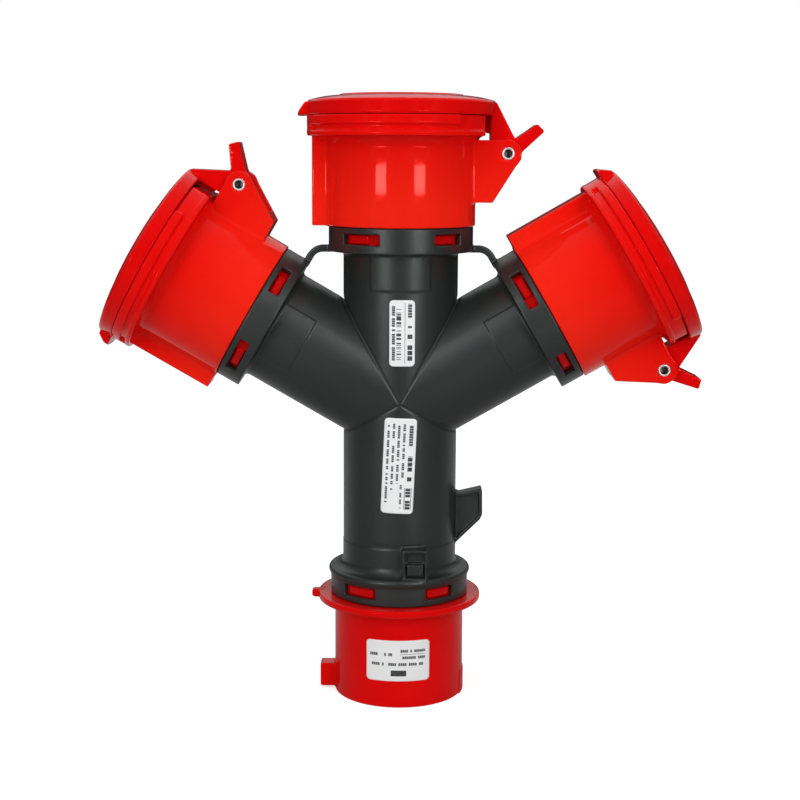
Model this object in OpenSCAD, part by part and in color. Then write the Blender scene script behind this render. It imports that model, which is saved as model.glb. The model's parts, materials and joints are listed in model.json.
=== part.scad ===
// Three-way industrial pin-and-sleeve adaptor: one five-pole plug feeds three
// lidded five-pole sockets on a moulded four-way body.
// Millimetres, +Z up the stem, front toward -Y, origin at the centre of the
// plug's mouth. Each arm has a local frame: origin at the crossing of the arms,
// +Z out along the arm, +X toward its lid hinge.

/* [Body] */
// Height of the crossing of the arms above the plug's mouth
cross_z = 149; // [147:0.5:151]
// Angle between neighbouring arms
arm_angle = 60; // [60:1:62]
// Outside radius of the stem and the arms
arm_r = 27.8; // [27.4:0.1:28.2]
// Wall thickness of the stem and the arms
body_wall = 3; // [2.6:0.1:3.2]
// Outside radius of the arm collars
collar_r = 34.9; // [34.6:0.1:35.2]
// Distance from the crossing to the rear face of an arm collar
collar_rear_z = 71.3; // [70.8:0.1:71.8]
// Distance from the crossing to the mouth of an arm collar
collar_mouth_z = 83.4; // [83.2:0.1:83.5]
// Height of the mouth of the plug collar
stem_mouth_z = 51; // [51:0.1:51.2]

/* [Plug] */
// Outside radius of the plug shroud
shroud_r = 32; // [31.8:0.1:32.1]
// Wall thickness of the plug shroud
shroud_wall = 3.2; // [3:0.1:3.3]
// Radius of the plug flange
flange_r = 40.3; // [39.5:0.1:41]
// Radius of a phase or neutral pin
pin_r = 3; // [3:0.05:3.05]
// Radius of the earth pin
earth_r = 4; // [4:0.05:4.05]
// Radius of the circle the pins stand on
pin_circle_r = 17; // [16.9:0.05:17.1]
// Height of the pin tips above the plug's mouth
pin_tip_z = 8; // [7:0.5:10]
// Height of the earth pin's tip above the plug's mouth
earth_tip_z = 5; // [4:0.5:7]

/* [Socket] */
// Outside radius of the socket barrel
barrel_r = 35.8; // [35.6:0.1:36]
// Wall thickness of the socket barrel
barrel_wall = 3.2; // [3:0.1:3.3]
// Radius of the socket rim and the lid
rim_r = 45.2; // [44.9:0.1:45.5]
// Radius of the contact carrier
carrier_r = 28.4; // [28.2:0.05:28.4]
// Distance from the crossing to the contact carrier's face
carrier_face_z = 133.6; // [133:0.1:133.8]

/* [Lid] */
// Distance from the crossing to the hinge pin, along the arm
hinge_z = 118; // [117.8:0.1:118.2]
// Distance from the arm's axis to the hinge pin
hinge_x = 50.6; // [50.4:0.1:50.8]
// Radius of the hinge pin
hinge_pin_r = 2.8; // [2.7:0.05:2.85]
// Radial clearance between the hinge pin and the lid
hinge_gap = 0.05; // [0.03:0.01:0.08]
// Radius of the raised disc on the lid
disc_r = 29.5; // [28:0.5:31]

/* [Hidden] */
NODES = ["body_housing",
    "plug_housing", "plug_pin_carrier", "plug_live_pins", "plug_earth_pin",
    "plug_terminal_screws", "plug_seal",
    "socket_housing_top", "contact_carrier_top", "live_contacts_top",
    "earth_contact_top", "terminal_screws_top", "socket_seal_top",
    "lid_top", "lid_gasket_top", "hinge_pin_top", "lid_spring_top",
    "socket_housing_left", "contact_carrier_left", "live_contacts_left",
    "earth_contact_left", "terminal_screws_left", "socket_seal_left",
    "lid_left", "lid_gasket_left", "hinge_pin_left", "lid_spring_left",
    "socket_housing_right", "contact_carrier_right", "live_contacts_right",
    "earth_contact_right", "terminal_screws_right", "socket_seal_right",
    "lid_right", "lid_gasket_right", "hinge_pin_right", "lid_spring_right",
    "wires_l1", "wires_l2", "wires_l3", "wires_neutral", "wires_earth",
    "label_top_arm", "label_stem", "label_plug"];
node = "all";
$fn = 64;

RED = "#d8140f";
GREY = "#3a3c3c";
STEEL = "#c9ccce";
BRASS = "#c8a24a";
RUBBER = "#1b1b1c";
CARRIER = "#2a2b2c";
WHITE = "#eef0f0";

arms = [-arm_angle, 0, arm_angle];   // left, top, right
bore_r = 31.8;                       // bore of every collar
spigot_r = 31.4;                     // spigot of every insert, inside a collar
spigot_end_z = 74.5;                 // inner end of a socket insert's spigot

// Bayonet windows in the collars and lugs on the inserts:
// [middle angle, angular width], from the front toward +X
arm_windows = [[-33.5, 34], [40.8, 26], [109, 30], [181, 30], [253, 30]];
arm_lugs = [[-37.3, 20], [38.8, 20], [106, 20], [178, 20], [250, 20]];
stem_windows = [[-35.4, 31], [36.4, 27], [108, 30], [180, 30], [252, 30]];
stem_lugs = [[-34.4, 25], [36.6, 23], [108, 24], [180, 24], [252, 24]];
arm_window_z = [75.4, 80.5];         // [bottom, top] in an arm's frame
stem_window_z = [54, 59.5];

// Poles around the axis: earth on the key side (-X), then clockwise from +Z
poles = [for (i = [0:4]) [-pin_circle_r * cos(72 * i), pin_circle_r * sin(72 * i)]];
pin_shank_r = 4.4;                   // upper part of a live pin
earth_shank_r = 5;
contact_r = 4.4;                     // outside of a live contact
earth_contact_r = 5.6;
entry_gap = 0.3;                     // round a pin in a carrier's face
fit_gap = 0.05;                      // round a metal part in its seat
wire_r = 1.6;                        // insulated wire
wire_hole_r = wire_r + 0.1;
wire_pitch = 3.6;                    // wires side by side in a plug terminal

// ---------- frames and shapes ----------
module at_arm(angle) translate([0, 0, cross_z]) rotate([0, angle, 0]) children();

// Point [x, z] of an arm's frame, turned into the top arm's frame
function turned(angle, x, z) =
    [z * sin(angle) + x * cos(angle), z * cos(angle) - x * sin(angle)];

module disc(radius, bottom, top)
    translate([0, 0, bottom]) cylinder(r = radius, h = top - bottom);

module tube(outer_r, inner_r, bottom, top) difference() {
    disc(outer_r, bottom, top);
    translate([0, 0, bottom - 1]) cylinder(r = inner_r, h = top - bottom + 2);
}

// Flat [x, z] profile, with its thickness along Y
module plate(profile, width, mid_y = 0)
    translate([0, mid_y + width / 2, 0]) rotate([90, 0, 0])
        linear_extrude(height = width) polygon(profile);

// Block centred on the Y = 0 plane
module block(x, z, size) translate([x, -size.y / 2, z]) cube(size);

// Block at an angle around the axis, facing outward
module facing(angle, inner_r, outer_r, width, bottom, top)
    rotate([0, 0, angle]) translate([-width / 2, -outer_r, bottom])
        cube([width, outer_r - inner_r, top - bottom]);

function chord(radius, angle) = 2 * radius * sin(angle / 2);

module window_cuts(windows, radius, span) for (window = windows)
    facing(window[0], 30, 38, chord(radius, window[1]), span[0], span[1]);

module lug_ring(lugs, radius, bottom, top) for (lug = lugs) intersection() {
    tube(radius, 30, bottom, top);
    facing(lug[0], 26, radius + 2, chord(radius, lug[1]), bottom - 1, top + 1);
}

// Seal ring round a spigot, and its groove
seal_h = 1.6;
plug_seal_z = 51.6;
socket_seal_z = 81.4;
module seal(bottom)
    color(RUBBER) tube(bore_r - 0.05, 30.2, bottom, bottom + seal_h);
module seal_groove(bottom) tube(33, 30.15, bottom - 0.1, bottom + seal_h + 0.1);

module at_pin(pole) translate([poles[pole].x, poles[pole].y, 0]) children();
// Turns a pole's +X outward from the axis
module at_pole(pole)
    at_pin(pole) rotate([0, 0, atan2(poles[pole].y, poles[pole].x)]) children();
function by_pole(pole, earth, live) = pole == 0 ? earth : live;

// ---------- body ----------
plug_collar_r = 34;
plug_collar_top = 63;
side_arm_r_cut = 0.06;    // side arms are a hair slimmer, for clean crossings

// The stem and top arm as one round bar with a side arm each way
module bars(radius) union() {
    union() {
        disc(radius, stem_mouth_z, cross_z + collar_mouth_z);
        at_arm(-arm_angle) disc(radius - side_arm_r_cut, 0, collar_mouth_z);
    }
    at_arm(arm_angle) disc(radius - side_arm_r_cut, 0, collar_mouth_z);
}

// Shallow moulded panel on the front of the stem or an arm
module front_panel(width, bottom, top) intersection() {
    tube(arm_r + 0.35, arm_r - 1, bottom, top);
    facing(0, arm_r - 8, arm_r + 3, width, bottom - 1, top + 1);
}

module arm_collar(angle) at_arm(angle) {
    disc(collar_r, collar_rear_z, collar_mouth_z);
    front_panel(28.6, 53.8, collar_rear_z + 0.5);
}

// Curved strap from the top collar to the left one, drawn as one profile
strap_thick = 3.3;
strap_z = 72.3;           // middle of the strap along each arm
strap_end_x = 33;         // its ends, buried in the collars
bend_x = 37.6;            // where the bend starts
bend_steps = 8;
// The bend turns by the arm angle about a point on the bisector
bend_r = strap_z - bend_x / tan(arm_angle / 2);
function bend_point(radius, step) = let (angle = 90 + arm_angle * step / bend_steps)
    [-bend_x + radius * cos(angle), strap_z - bend_r + radius * sin(angle)];

module strap() at_arm(0) {
    half = strap_thick / 2;
    plate(concat(
        [[-strap_end_x, strap_z - half]],
        [for (i = [0:bend_steps]) bend_point(bend_r - half, i)],
        [for (z = [strap_z - half, strap_z + half]) turned(-arm_angle, strap_end_x, z)],
        [for (i = [bend_steps:-1:0]) bend_point(bend_r + half, i)],
        [[-strap_end_x, strap_z + half]]), 7);
}

// Catch that a socket lid's hook holds when the adaptor's plug is mated:
// [x, z] outlines of the fin and of the recess in each of its faces
fin_width = 8.4;
fin_profile = [[26, 74], [27.4, 75.4], [40, 87.8], [41.1, 90.4], [40.9, 102.4],
    [40.4, 103.6], [29.6, 101], [26, 102.6]];
fin_recess = [[26, 76.4], [38.4, 88.7], [39.4, 91], [39.3, 101.4], [30, 99.3],
    [26, 100.9]];
module catch_fin() difference() {
    plate(fin_profile, fin_width);
    for (face = [-1, 1]) plate(fin_recess, 3.2, face * fin_width / 2);
}

// Rounded shoulder above the plug collar
module collar_shoulder() rotate_extrude() {
    translate([26, 60.85]) square([7.15, 3.5]);
    translate([33.15, 62.6]) circle(r = 1.85);
    difference() {
        translate([26, 64]) square([5.5, 4.75]);
        translate([32.3, 68.75]) circle(r = 4.45);
    }
}

// Raised boss on the front of the plug collar, and its stepped pocket
module front_boss() translate([1.6, -32.6, 63]) cube([11.9, 8, 15.9]);
module boss_pocket() {
    difference() {
        translate([3.1, -40, 65.3]) cube([9.6, 10.4, 12.4]);
        translate([3.9, -31.3, 60]) cube([8, 4, 11.6]);
    }
    translate([4.1, -40, 72.3]) cube([7.6, 11.6, 4.6]);
}

module body_housing() color(GREY) difference() {
    union() {
        bars(arm_r);
        for (angle = arms) arm_collar(angle);
        disc(plug_collar_r, stem_mouth_z, plug_collar_top);
        collar_shoulder();
        front_panel(28, 64, 80.2);
        front_boss();
        catch_fin();
        strap();
        mirror([1, 0, 0]) strap();
    }
    boss_pocket();
    bars(arm_r - body_wall);
    for (angle = arms) at_arm(angle) {
        disc(bore_r, spigot_end_z - 0.2, 90);
        window_cuts(arm_windows, collar_r, arm_window_z);
    }
    disc(bore_r, 45, plug_collar_top);
    window_cuts(stem_windows, plug_collar_r, stem_window_z);
}

// ---------- plug ----------
shroud_bore_r = shroud_r - shroud_wall;
flange_z = 47.4;                     // underside of the flange
shroud_top = 48;                     // top of the shroud and its carrier disc
plug_carrier_r = 24;                 // upper part of the pin carrier
land_h = 11.6;
plug_screw_z = 73;

module plug_housing() color(RED) difference() {
    union() {
        disc(shroud_r, 0, shroud_top);
        // slightly raised land low on the +X side
        intersection() {
            disc(shroud_r + 0.4, 0, land_h);
            block(20, 0, [20, 22, land_h]);
        }
        // flare under the flange, flange and spigot
        translate([0, 0, 44.9]) cylinder(r1 = shroud_r, r2 = 34.4, h = 2.6);
        disc(flange_r, flange_z, 50.8);
        disc(spigot_r, 50, 62.5);
        // key low on the -X side, and a tab on the flange above it
        block(-39.3, 1.3, [9, 9.4, 11.9]);
        block(-43.4, 47.3, [6, 5.4, 3.3]);
        lug_ring(stem_lugs, 33.2, stem_window_z[0] + 0.4, stem_window_z[1] - 0.4);
    }
    disc(shroud_bore_r, -1, shroud_top + 0.1);
    disc(plug_carrier_r + 0.1, 40, 70);
    disc(27.6, 50.9, 70);
    seal_groove(plug_seal_z);
}

module plug_pin_carrier() color(CARRIER) difference() {
    union() {
        disc(shroud_bore_r - 0.1, 44, shroud_top);
        disc(plug_carrier_r, 47.5, 66);
    }
    for (i = [0:4]) at_pin(i) {
        disc(by_pole(i, earth_r, pin_r) + entry_gap, 40, 70);
        disc(by_pole(i, earth_shank_r, pin_shank_r) + fit_gap, 50, 70);
    }
    // radial slots in the top, between the poles
    for (i = [0:4]) rotate([0, 0, 36 + 72 * i]) translate([-1, 8, 60]) cube([2, 14, 8]);
}

// Frame of one wire's screw in a plug terminal, +Z out toward the front or back
module at_plug_screw(pole, wire) translate([wire * wire_pitch, 0, plug_screw_z])
    rotate([-90 * by_pole(pole, 1, sign(poles[pole].y)), 0, 0]) children();

// Pin with a terminal block that takes one wire for each socket
module pin(pole, radius, shank_r, tip_z) at_pin(pole) difference() {
    tip_h = 1.6;
    union() {
        translate([0, 0, tip_z]) cylinder(r1 = radius - 1.2, r2 = radius, h = tip_h);
        disc(radius, tip_z + tip_h, 44.5);
        disc(radius + 0.25, 44, 51);
        disc(shank_r, 50.1, 67);
        block(-5.4, 66.1, [10.8, 7, 12]);
    }
    for (wire = [-1:1]) {
        translate([wire * wire_pitch, 0, 0]) disc(wire_hole_r, 67.5, 79);
        at_plug_screw(pole, wire) cylinder(r = 1.25, h = 8);
    }
}
module plug_live_pins() color(STEEL)
    for (i = [1:4]) pin(i, pin_r, pin_shank_r, pin_tip_z);
module plug_earth_pin() color(STEEL) pin(0, earth_r, earth_shank_r, earth_tip_z);

// Headless slotted screws, one over each wire
module plug_terminal_screws() color(STEEL) for (i = [0:4]) for (wire = [-1:1])
    at_pin(i) at_plug_screw(i, wire) difference() {
        disc(1.2, wire_r + fit_gap, 3.5);
        translate([-0.25, -2, 2.9]) cube([0.5, 4, 2]);
    }

module plug_seal() seal(plug_seal_z);

// ---------- sockets ----------
barrel_z = collar_mouth_z + 0.2;     // inner end of the barrel
barrel_top = 126.2;
rim_z = 126;                         // underside of the rim
rim_top = 135.6;
lip_top = 137.4;                     // top of the inner lip
rim_gap_angle = 51;                  // half the gap in the raised ring, at +X
ear_width = 4.5;
ear_mid_y = 10.75;
socket_screw_z = 79;

// [x, z] outlines of a hinge ear and of the web that joins the ears
ear_profile = [[32.6, 94.9], [43.5, 94.9], [56.6, 115.8], [hinge_x, hinge_z],
    [51.6, 124.3], [32.6, 124.3]];
web_profile = [[33.6, 94.9], [43.5, 94.9], [46.4, 99.6], [44.6, 100.6], [42.3, 96.9],
    [33.6, 96.9]];

// Frame on the hinge axis, +Z toward the front (-Y)
module at_hinge(y = 0) translate([hinge_x, y, hinge_z]) rotate([90, 0, 0]) children();

// Bead, neck, block on the -X side and interrupted raised ring, cut flat at +X
module rim() intersection() {
    union() {
        disc(rim_r, rim_z, 128.5);
        disc(43.6, 128, rim_top);
        intersection() {
            disc(rim_r, 128.4, rim_top);
            block(-50, 120, [12, 29, 20]);
        }
        difference() {
            disc(rim_r, 131.2, rim_top);
            translate([0, 0, 120]) linear_extrude(height = 20)
                polygon([[0, 0], [60, -60 * tan(rim_gap_angle)], [90, 0],
                    [60, 60 * tan(rim_gap_angle)]]);
        }
    }
    block(-60, 120, [99.3, 120, 20]);
}

// Trough behind the rim, left solid at the keyway
module rim_trough() intersection() {
    tube(41.4, 36, 129, 140);
    block(-60, 120, [97.3, 120, 30]);
    difference() {
        disc(60, 120, 150);
        block(-50, 110, [20, 15.6, 50]);
    }
}

module hinge_ear(side) difference() {
    union() {
        plate(ear_profile, ear_width, side * ear_mid_y);
        at_hinge(side * ear_mid_y + ear_width / 2) cylinder(r = 6.4, h = ear_width);
    }
    at_hinge() {
        cylinder(r = hinge_pin_r + 0.01, h = 40, center = true);
        translate([0, 0, side > 0 ? -14 : 12.4]) cylinder(r = 3.7, h = 1.6);
    }
}

module socket_housing() color(RED) difference() {
    union() {
        disc(spigot_r, spigot_end_z, 84);
        lug_ring(arm_lugs, 33.4, arm_window_z[0] + 0.2, arm_window_z[1] - 0.3);
        disc(barrel_r, barrel_z, barrel_top);
        translate([0, 0, 123.6]) cylinder(r1 = barrel_r, r2 = 38.2, h = 2.5);
        // keyway bulge
        block(-42.5, barrel_z, [14, 18, barrel_top - barrel_z]);
        rim();
        disc(36, rim_z, lip_top);
        for (side = [-1, 1]) hinge_ear(side);
        plate(web_profile, 17.2);
    }
    // barrel bore, carrier seat and keyway
    disc(barrel_r - barrel_wall, 88, 145);
    disc(carrier_r + 0.4, 84.9, 88.1);
    disc(26.2, 70, 90);
    block(-40.1, 88, [14, 10.6, 60]);
    rim_trough();
    seal_groove(socket_seal_z);
}

module contact_carrier() color(CARRIER) difference() {
    union() {
        disc(carrier_r, 87, carrier_face_z);
        disc(carrier_r + 0.3, 85, 88);
    }
    for (i = [0:4]) at_pin(i) {
        disc(by_pole(i, earth_r, pin_r) + entry_gap, 80, 140);
        disc(by_pole(i, earth_contact_r, contact_r) + fit_gap, 80, 131.1);
    }
    // central hole in the face
    disc(3, 130.6, 140);
}

// Sleeve for a pin, with a wire hole at its inner end and a screw hole outward
module contact(inner_r, outer_r) difference() {
    disc(outer_r, 74, 131);
    disc(inner_r, 96, 135);
    disc(wire_hole_r, 70, 86);
    translate([0, 0, socket_screw_z]) rotate([0, 90, 0]) cylinder(r = 1.55, h = 8);
}
module live_contacts() color(BRASS)
    for (i = [1:4]) at_pole(i) contact(pin_r + fit_gap, contact_r);
module earth_contact() color(BRASS)
    at_pole(0) contact(earth_r + fit_gap, earth_contact_r);

// Screw with a slotted head whose underside is head_z from the contact's axis
module screw(head_z) translate([0, 0, socket_screw_z]) rotate([0, 90, 0]) difference() {
    union() {
        disc(1.5, wire_r + fit_gap, head_z + 0.5);
        disc(2.5, head_z, head_z + 1.5);
    }
    translate([-0.4, -4, head_z + 0.8]) cube([0.8, 8, 2]);
}
module terminal_screws() color(STEEL)
    for (i = [0:4]) at_pole(i) screw(by_pole(i, 5.65, 4.5));

module socket_seal() seal(socket_seal_z);

// ---------- lids ----------
skirt_z = rim_top + 0.15;            // lower edge of the lid's skirt
skirt_top = 142;
recess_top = 139.4;                  // underside of the lid's top
hinge_arm_width = 16.4;

// [radius, z] outline of the low dome with a raised disc on it
dome_profile = [[0, skirt_top - 1], [44.8, skirt_top - 1], [44.8, skirt_top],
    [44.2, 142.8], [41, 143.6], [37.6, 144.3], [33.5, 144.8],
    [disc_r, 145.1], [disc_r, 145.7], [0, 145.7]];
// [x, z] outlines
finger_lip_profile = [[-40, skirt_z], [-45.4, skirt_z], [-48.8, skirt_z - 0.3],
    [-49.5, 136.4], [-45.2, 141.6], [-40, 141.6]];
arm_root_profile = [[40, 141.5], [40, skirt_z], [42.4, skirt_z], [42.4, 122],
    [45.6, 114.6], [hinge_x, hinge_z], [56.3, 120.6], [53.5, 125.9], [45.3, 141.5]];
arm_profile = [[42.4, 136.5], [42.4, 122], [45.6, 114.6], [hinge_x, hinge_z],
    [56.3, 120.6], [53.5, 125.9], [46.5, 138.6]];
rib_profile = [[39.7, 139.8], [39.7, 128.6], [41, 127.5], [42.6, 127.5], [42.6, 139.8]];
lever_profile = [[50.6, 121.4], [54.6, 125.2], [63.7, 131.2], [67.4, 128.2],
    [57.6, 119.2], [53, 115.6]];
hook_profile = [[-26.5, 139.8], [-26.5, 135.4], [-25.4, 134.4], [-23.2, 134.4],
    [-23.2, 139.8]];

// Skirt, dome, finger lip and root of the hinge arm, hollowed from below
module lid_shell() difference() {
    union() {
        disc(rim_r, skirt_z, skirt_top);
        rotate_extrude() polygon(dome_profile);
        // finger lip opposite the hinge
        intersection() {
            plate(finger_lip_profile, 22);
            translate([-10, 0, 120]) cylinder(r = 39.8, h = 30);
        }
        plate(arm_root_profile, hinge_arm_width);
    }
    disc(43, skirt_z - 2, recess_top);
}

module lid() color(RED) difference() {
    union() {
        lid_shell();
        // hinge arm, added again whole after the hollowing, and its knuckle
        plate(arm_profile, hinge_arm_width);
        at_hinge(hinge_arm_width / 2) cylinder(r = 6.2, h = hinge_arm_width);
        // rib down the inside of the hinge arm
        plate(rib_profile, 6);
        // thumb lever behind the hinge
        plate(lever_profile, hinge_arm_width);
        // hook that catches a mated plug's fin
        plate(hook_profile, 14);
    }
    // pin hole and room for the spring
    at_hinge() {
        cylinder(r = hinge_pin_r + hinge_gap, h = 40, center = true);
        cylinder(r = 6.7, h = 8.6, center = true);
    }
}

module lid_gasket() color(RUBBER) tube(38.5, 32.8, 137.6, recess_top - 0.02);

// Pin with a blind hole in each end
module hinge_pin() color(STEEL) at_hinge() difference() {
    cylinder(r = hinge_pin_r, h = 25, center = true);
    for (z = [9.5, -14.5]) translate([0, 0, z]) cylinder(r = 2.1, h = 5);
}

// ---------- round wire swept along computed points ----------
function unit(vector) = vector / norm(vector);
function tangent_at(path, i) =
    unit(path[min(i + 1, len(path) - 1)] - path[max(i - 1, 0)]);

// Sections are squared up to the reference direction, which the path must not follow
module sweep(path, radius, reference, sides = 8) {
    last = len(path) - 1;
    points = [for (i = [0:last])
        let (tangent = tangent_at(path, i),
            across = unit(cross(tangent, reference)),
            up = cross(across, tangent))
        for (j = [0:sides - 1]) let (angle = 360 * j / sides)
            path[i] + radius * (cos(angle) * across + sin(angle) * up)];
    faces = concat(
        [for (i = [0:last - 1]) for (j = [0:sides - 1]) let (next = (j + 1) % sides)
            [i * sides + j, (i + 1) * sides + j, (i + 1) * sides + next, i * sides + next]],
        [[for (j = [0:sides - 1]) j]],
        [[for (j = [sides - 1:-1:0]) last * sides + j]]);
    polyhedron(points = points, faces = faces, convexity = 6);
}

// Torsion spring round the hinge pin, one leg on the barrel, one in the lid
spring_r = 3.75;
spring_end_y = 3.3;                  // half the length of the coil
coil_steps = 14;                     // per turn
spring_steps = coil_steps * 5.25;    // turns
spring_path = concat(
    [for (x = [36.6, 42]) [x, -spring_end_y, hinge_z - spring_r]],
    [for (i = [0:spring_steps]) let (angle = 270 + 360 * i / coil_steps)
        [hinge_x + spring_r * cos(angle),
            -spring_end_y + 2 * spring_end_y * i / spring_steps,
            hinge_z + spring_r * sin(angle)]],
    [[hinge_x + spring_r, spring_end_y, hinge_z + 4.4]]);
module lid_spring() color(STEEL) sweep(spring_path, 0.5, [0, 1, 0.02], 6);

// ---------- wires ----------
// Point of an arm's frame in the body's frame
function arm_point(angle, x, y, z) = let (point = turned(angle, x, z))
    [point[0], y, cross_z + point[1]];

// Catmull-Rom curve through the points
function spline(path, steps) = let (last = len(path) - 1)
    [for (i = [0:last - 1])
        let (before = path[max(i - 1, 0)], start = path[i],
            end = path[i + 1], after = path[min(i + 2, last)])
        for (k = [0:(i == last - 1 ? steps : steps - 1)]) let (t = k / steps)
            0.5 * ((2 * start) + (end - before) * t
                + (2 * before - 5 * start + 4 * end - after) * t * t
                + (3 * start - before - 3 * end + after) * t * t * t)];

// From a pole's plug terminal up the stem and out to its contact in one arm
module wire(pole, angle) {
    x = poles[pole].x;
    y = poles[pole].y;
    side = sign(angle);
    start_x = x + wire_pitch * side;
    path = concat(
        [for (z = [68, 80, 84]) [start_x, y, z]],
        [[start_x * 0.5 + 3.5 * side, y, 100], [7 * side, y, 126]],
        [arm_point(angle, 0, y, angle == 0 ? 10 : 24), arm_point(angle, x * 0.5, y, 46)],
        [for (z = [65, 71, 85]) arm_point(angle, x, y, z)]);
    sweep(spline(path, 3), wire_r, [0, 1, 0]);
}
module wires(pole, tint) color(tint) for (angle = arms) wire(pole, angle);

// ---------- labels ----------
module rounded(width, height, corner_r) hull() for (x = [-1, 1], y = [-1, 1])
    translate([x * (width / 2 - corner_r), y * (height / 2 - corner_r)])
        circle(r = corner_r, $fn = 32);

// Thin rounded rectangle wrapped on the front of a round part
module front_label(radius, width, height, x, z, tilt = 0) color(WHITE) intersection() {
    tube(radius + 0.22, radius + 0.02, z - height, z + height);
    translate([x, -radius + 12, z]) rotate([90, 0, 0]) rotate([0, 0, tilt])
        linear_extrude(height = 20) rounded(width, height, 1.6);
}
module label_top_arm() at_arm(0) front_label(arm_r, 12, 31.4, x = 1, z = 34.1);
module label_stem() front_label(arm_r, 15.4, 46.4, x = -0.25, z = 119.3, tilt = -2.4);
module label_plug() front_label(shroud_r, 30.4, 20.4, x = -0.15, z = 23.8);

// ---------- pieces at their places ----------
function shown(name) = node == "all" || node == name;

if (shown("body_housing")) body_housing();
if (shown("plug_housing")) plug_housing();
if (shown("plug_pin_carrier")) plug_pin_carrier();
if (shown("plug_live_pins")) plug_live_pins();
if (shown("plug_earth_pin")) plug_earth_pin();
if (shown("plug_terminal_screws")) plug_terminal_screws();
if (shown("plug_seal")) plug_seal();

if (shown("socket_housing_top")) at_arm(0) socket_housing();
if (shown("contact_carrier_top")) at_arm(0) contact_carrier();
if (shown("live_contacts_top")) at_arm(0) live_contacts();
if (shown("earth_contact_top")) at_arm(0) earth_contact();
if (shown("terminal_screws_top")) at_arm(0) terminal_screws();
if (shown("socket_seal_top")) at_arm(0) socket_seal();
if (shown("lid_top")) at_arm(0) lid();
if (shown("lid_gasket_top")) at_arm(0) lid_gasket();
if (shown("hinge_pin_top")) at_arm(0) hinge_pin();
if (shown("lid_spring_top")) at_arm(0) lid_spring();

if (shown("socket_housing_left")) at_arm(-arm_angle) socket_housing();
if (shown("contact_carrier_left")) at_arm(-arm_angle) contact_carrier();
if (shown("live_contacts_left")) at_arm(-arm_angle) live_contacts();
if (shown("earth_contact_left")) at_arm(-arm_angle) earth_contact();
if (shown("terminal_screws_left")) at_arm(-arm_angle) terminal_screws();
if (shown("socket_seal_left")) at_arm(-arm_angle) socket_seal();
if (shown("lid_left")) at_arm(-arm_angle) lid();
if (shown("lid_gasket_left")) at_arm(-arm_angle) lid_gasket();
if (shown("hinge_pin_left")) at_arm(-arm_angle) hinge_pin();
if (shown("lid_spring_left")) at_arm(-arm_angle) lid_spring();

if (shown("socket_housing_right")) at_arm(arm_angle) socket_housing();
if (shown("contact_carrier_right")) at_arm(arm_angle) contact_carrier();
if (shown("live_contacts_right")) at_arm(arm_angle) live_contacts();
if (shown("earth_contact_right")) at_arm(arm_angle) earth_contact();
if (shown("terminal_screws_right")) at_arm(arm_angle) terminal_screws();
if (shown("socket_seal_right")) at_arm(arm_angle) socket_seal();
if (shown("lid_right")) at_arm(arm_angle) lid();
if (shown("lid_gasket_right")) at_arm(arm_angle) lid_gasket();
if (shown("hinge_pin_right")) at_arm(arm_angle) hinge_pin();
if (shown("lid_spring_right")) at_arm(arm_angle) lid_spring();

if (shown("wires_l1")) wires(1, "saddlebrown");
if (shown("wires_l2")) wires(2, "#202020");
if (shown("wires_l3")) wires(3, "gray");
if (shown("wires_neutral")) wires(4, "royalblue");
if (shown("wires_earth")) wires(0, "yellowgreen");

if (shown("label_top_arm")) label_top_arm();
if (shown("label_stem")) label_stem();
if (shown("label_plug")) label_plug();
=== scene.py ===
"""A three-way connector splitter, standing on its plug, in the row frame.

The plug is at the bottom on the Z axis, and the round stem of the body rises from it to a
crossing. Three arms leave the crossing, upward and 60 degrees to each side, and each ends in a
red socket with a hinged lid. The front faces -Y, and "left" is -X.

The four mouldings are distance fields in millimetres, turned into meshes in metres. Lid and
socket are built once, in an arm's frame: +Z out along the arm, +X toward the hinge, and the
origin as far below the crossing as the row frame's, so the top arm needs only the offset CROSS.
"""
import json
import math
import bpy
import bmesh
import numpy as np
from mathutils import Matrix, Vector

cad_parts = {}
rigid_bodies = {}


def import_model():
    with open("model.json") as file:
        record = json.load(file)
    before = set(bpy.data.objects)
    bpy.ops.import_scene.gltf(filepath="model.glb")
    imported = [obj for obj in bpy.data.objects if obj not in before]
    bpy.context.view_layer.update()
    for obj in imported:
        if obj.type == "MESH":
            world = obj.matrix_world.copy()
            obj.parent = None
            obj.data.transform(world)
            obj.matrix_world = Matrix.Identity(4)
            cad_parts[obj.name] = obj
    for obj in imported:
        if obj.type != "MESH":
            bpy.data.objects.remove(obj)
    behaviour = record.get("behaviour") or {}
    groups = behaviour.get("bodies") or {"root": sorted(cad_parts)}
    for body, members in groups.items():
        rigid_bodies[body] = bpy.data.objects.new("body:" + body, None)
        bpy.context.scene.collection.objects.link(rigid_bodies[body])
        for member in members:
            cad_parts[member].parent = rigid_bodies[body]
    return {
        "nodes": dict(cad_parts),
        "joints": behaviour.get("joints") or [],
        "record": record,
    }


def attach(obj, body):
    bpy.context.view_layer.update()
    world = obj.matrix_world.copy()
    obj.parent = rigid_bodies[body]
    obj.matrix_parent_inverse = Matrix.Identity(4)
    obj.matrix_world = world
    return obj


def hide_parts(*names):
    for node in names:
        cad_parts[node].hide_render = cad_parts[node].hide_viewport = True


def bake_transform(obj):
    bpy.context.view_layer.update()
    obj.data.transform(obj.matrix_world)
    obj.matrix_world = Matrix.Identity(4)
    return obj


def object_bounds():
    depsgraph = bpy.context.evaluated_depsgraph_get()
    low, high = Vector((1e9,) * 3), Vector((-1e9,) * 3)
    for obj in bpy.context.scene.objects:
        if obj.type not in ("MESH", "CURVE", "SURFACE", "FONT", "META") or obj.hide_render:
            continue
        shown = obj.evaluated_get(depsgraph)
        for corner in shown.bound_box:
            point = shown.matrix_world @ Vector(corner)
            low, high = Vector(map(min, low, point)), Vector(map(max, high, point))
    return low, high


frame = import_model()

import openvdb as vdb
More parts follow.
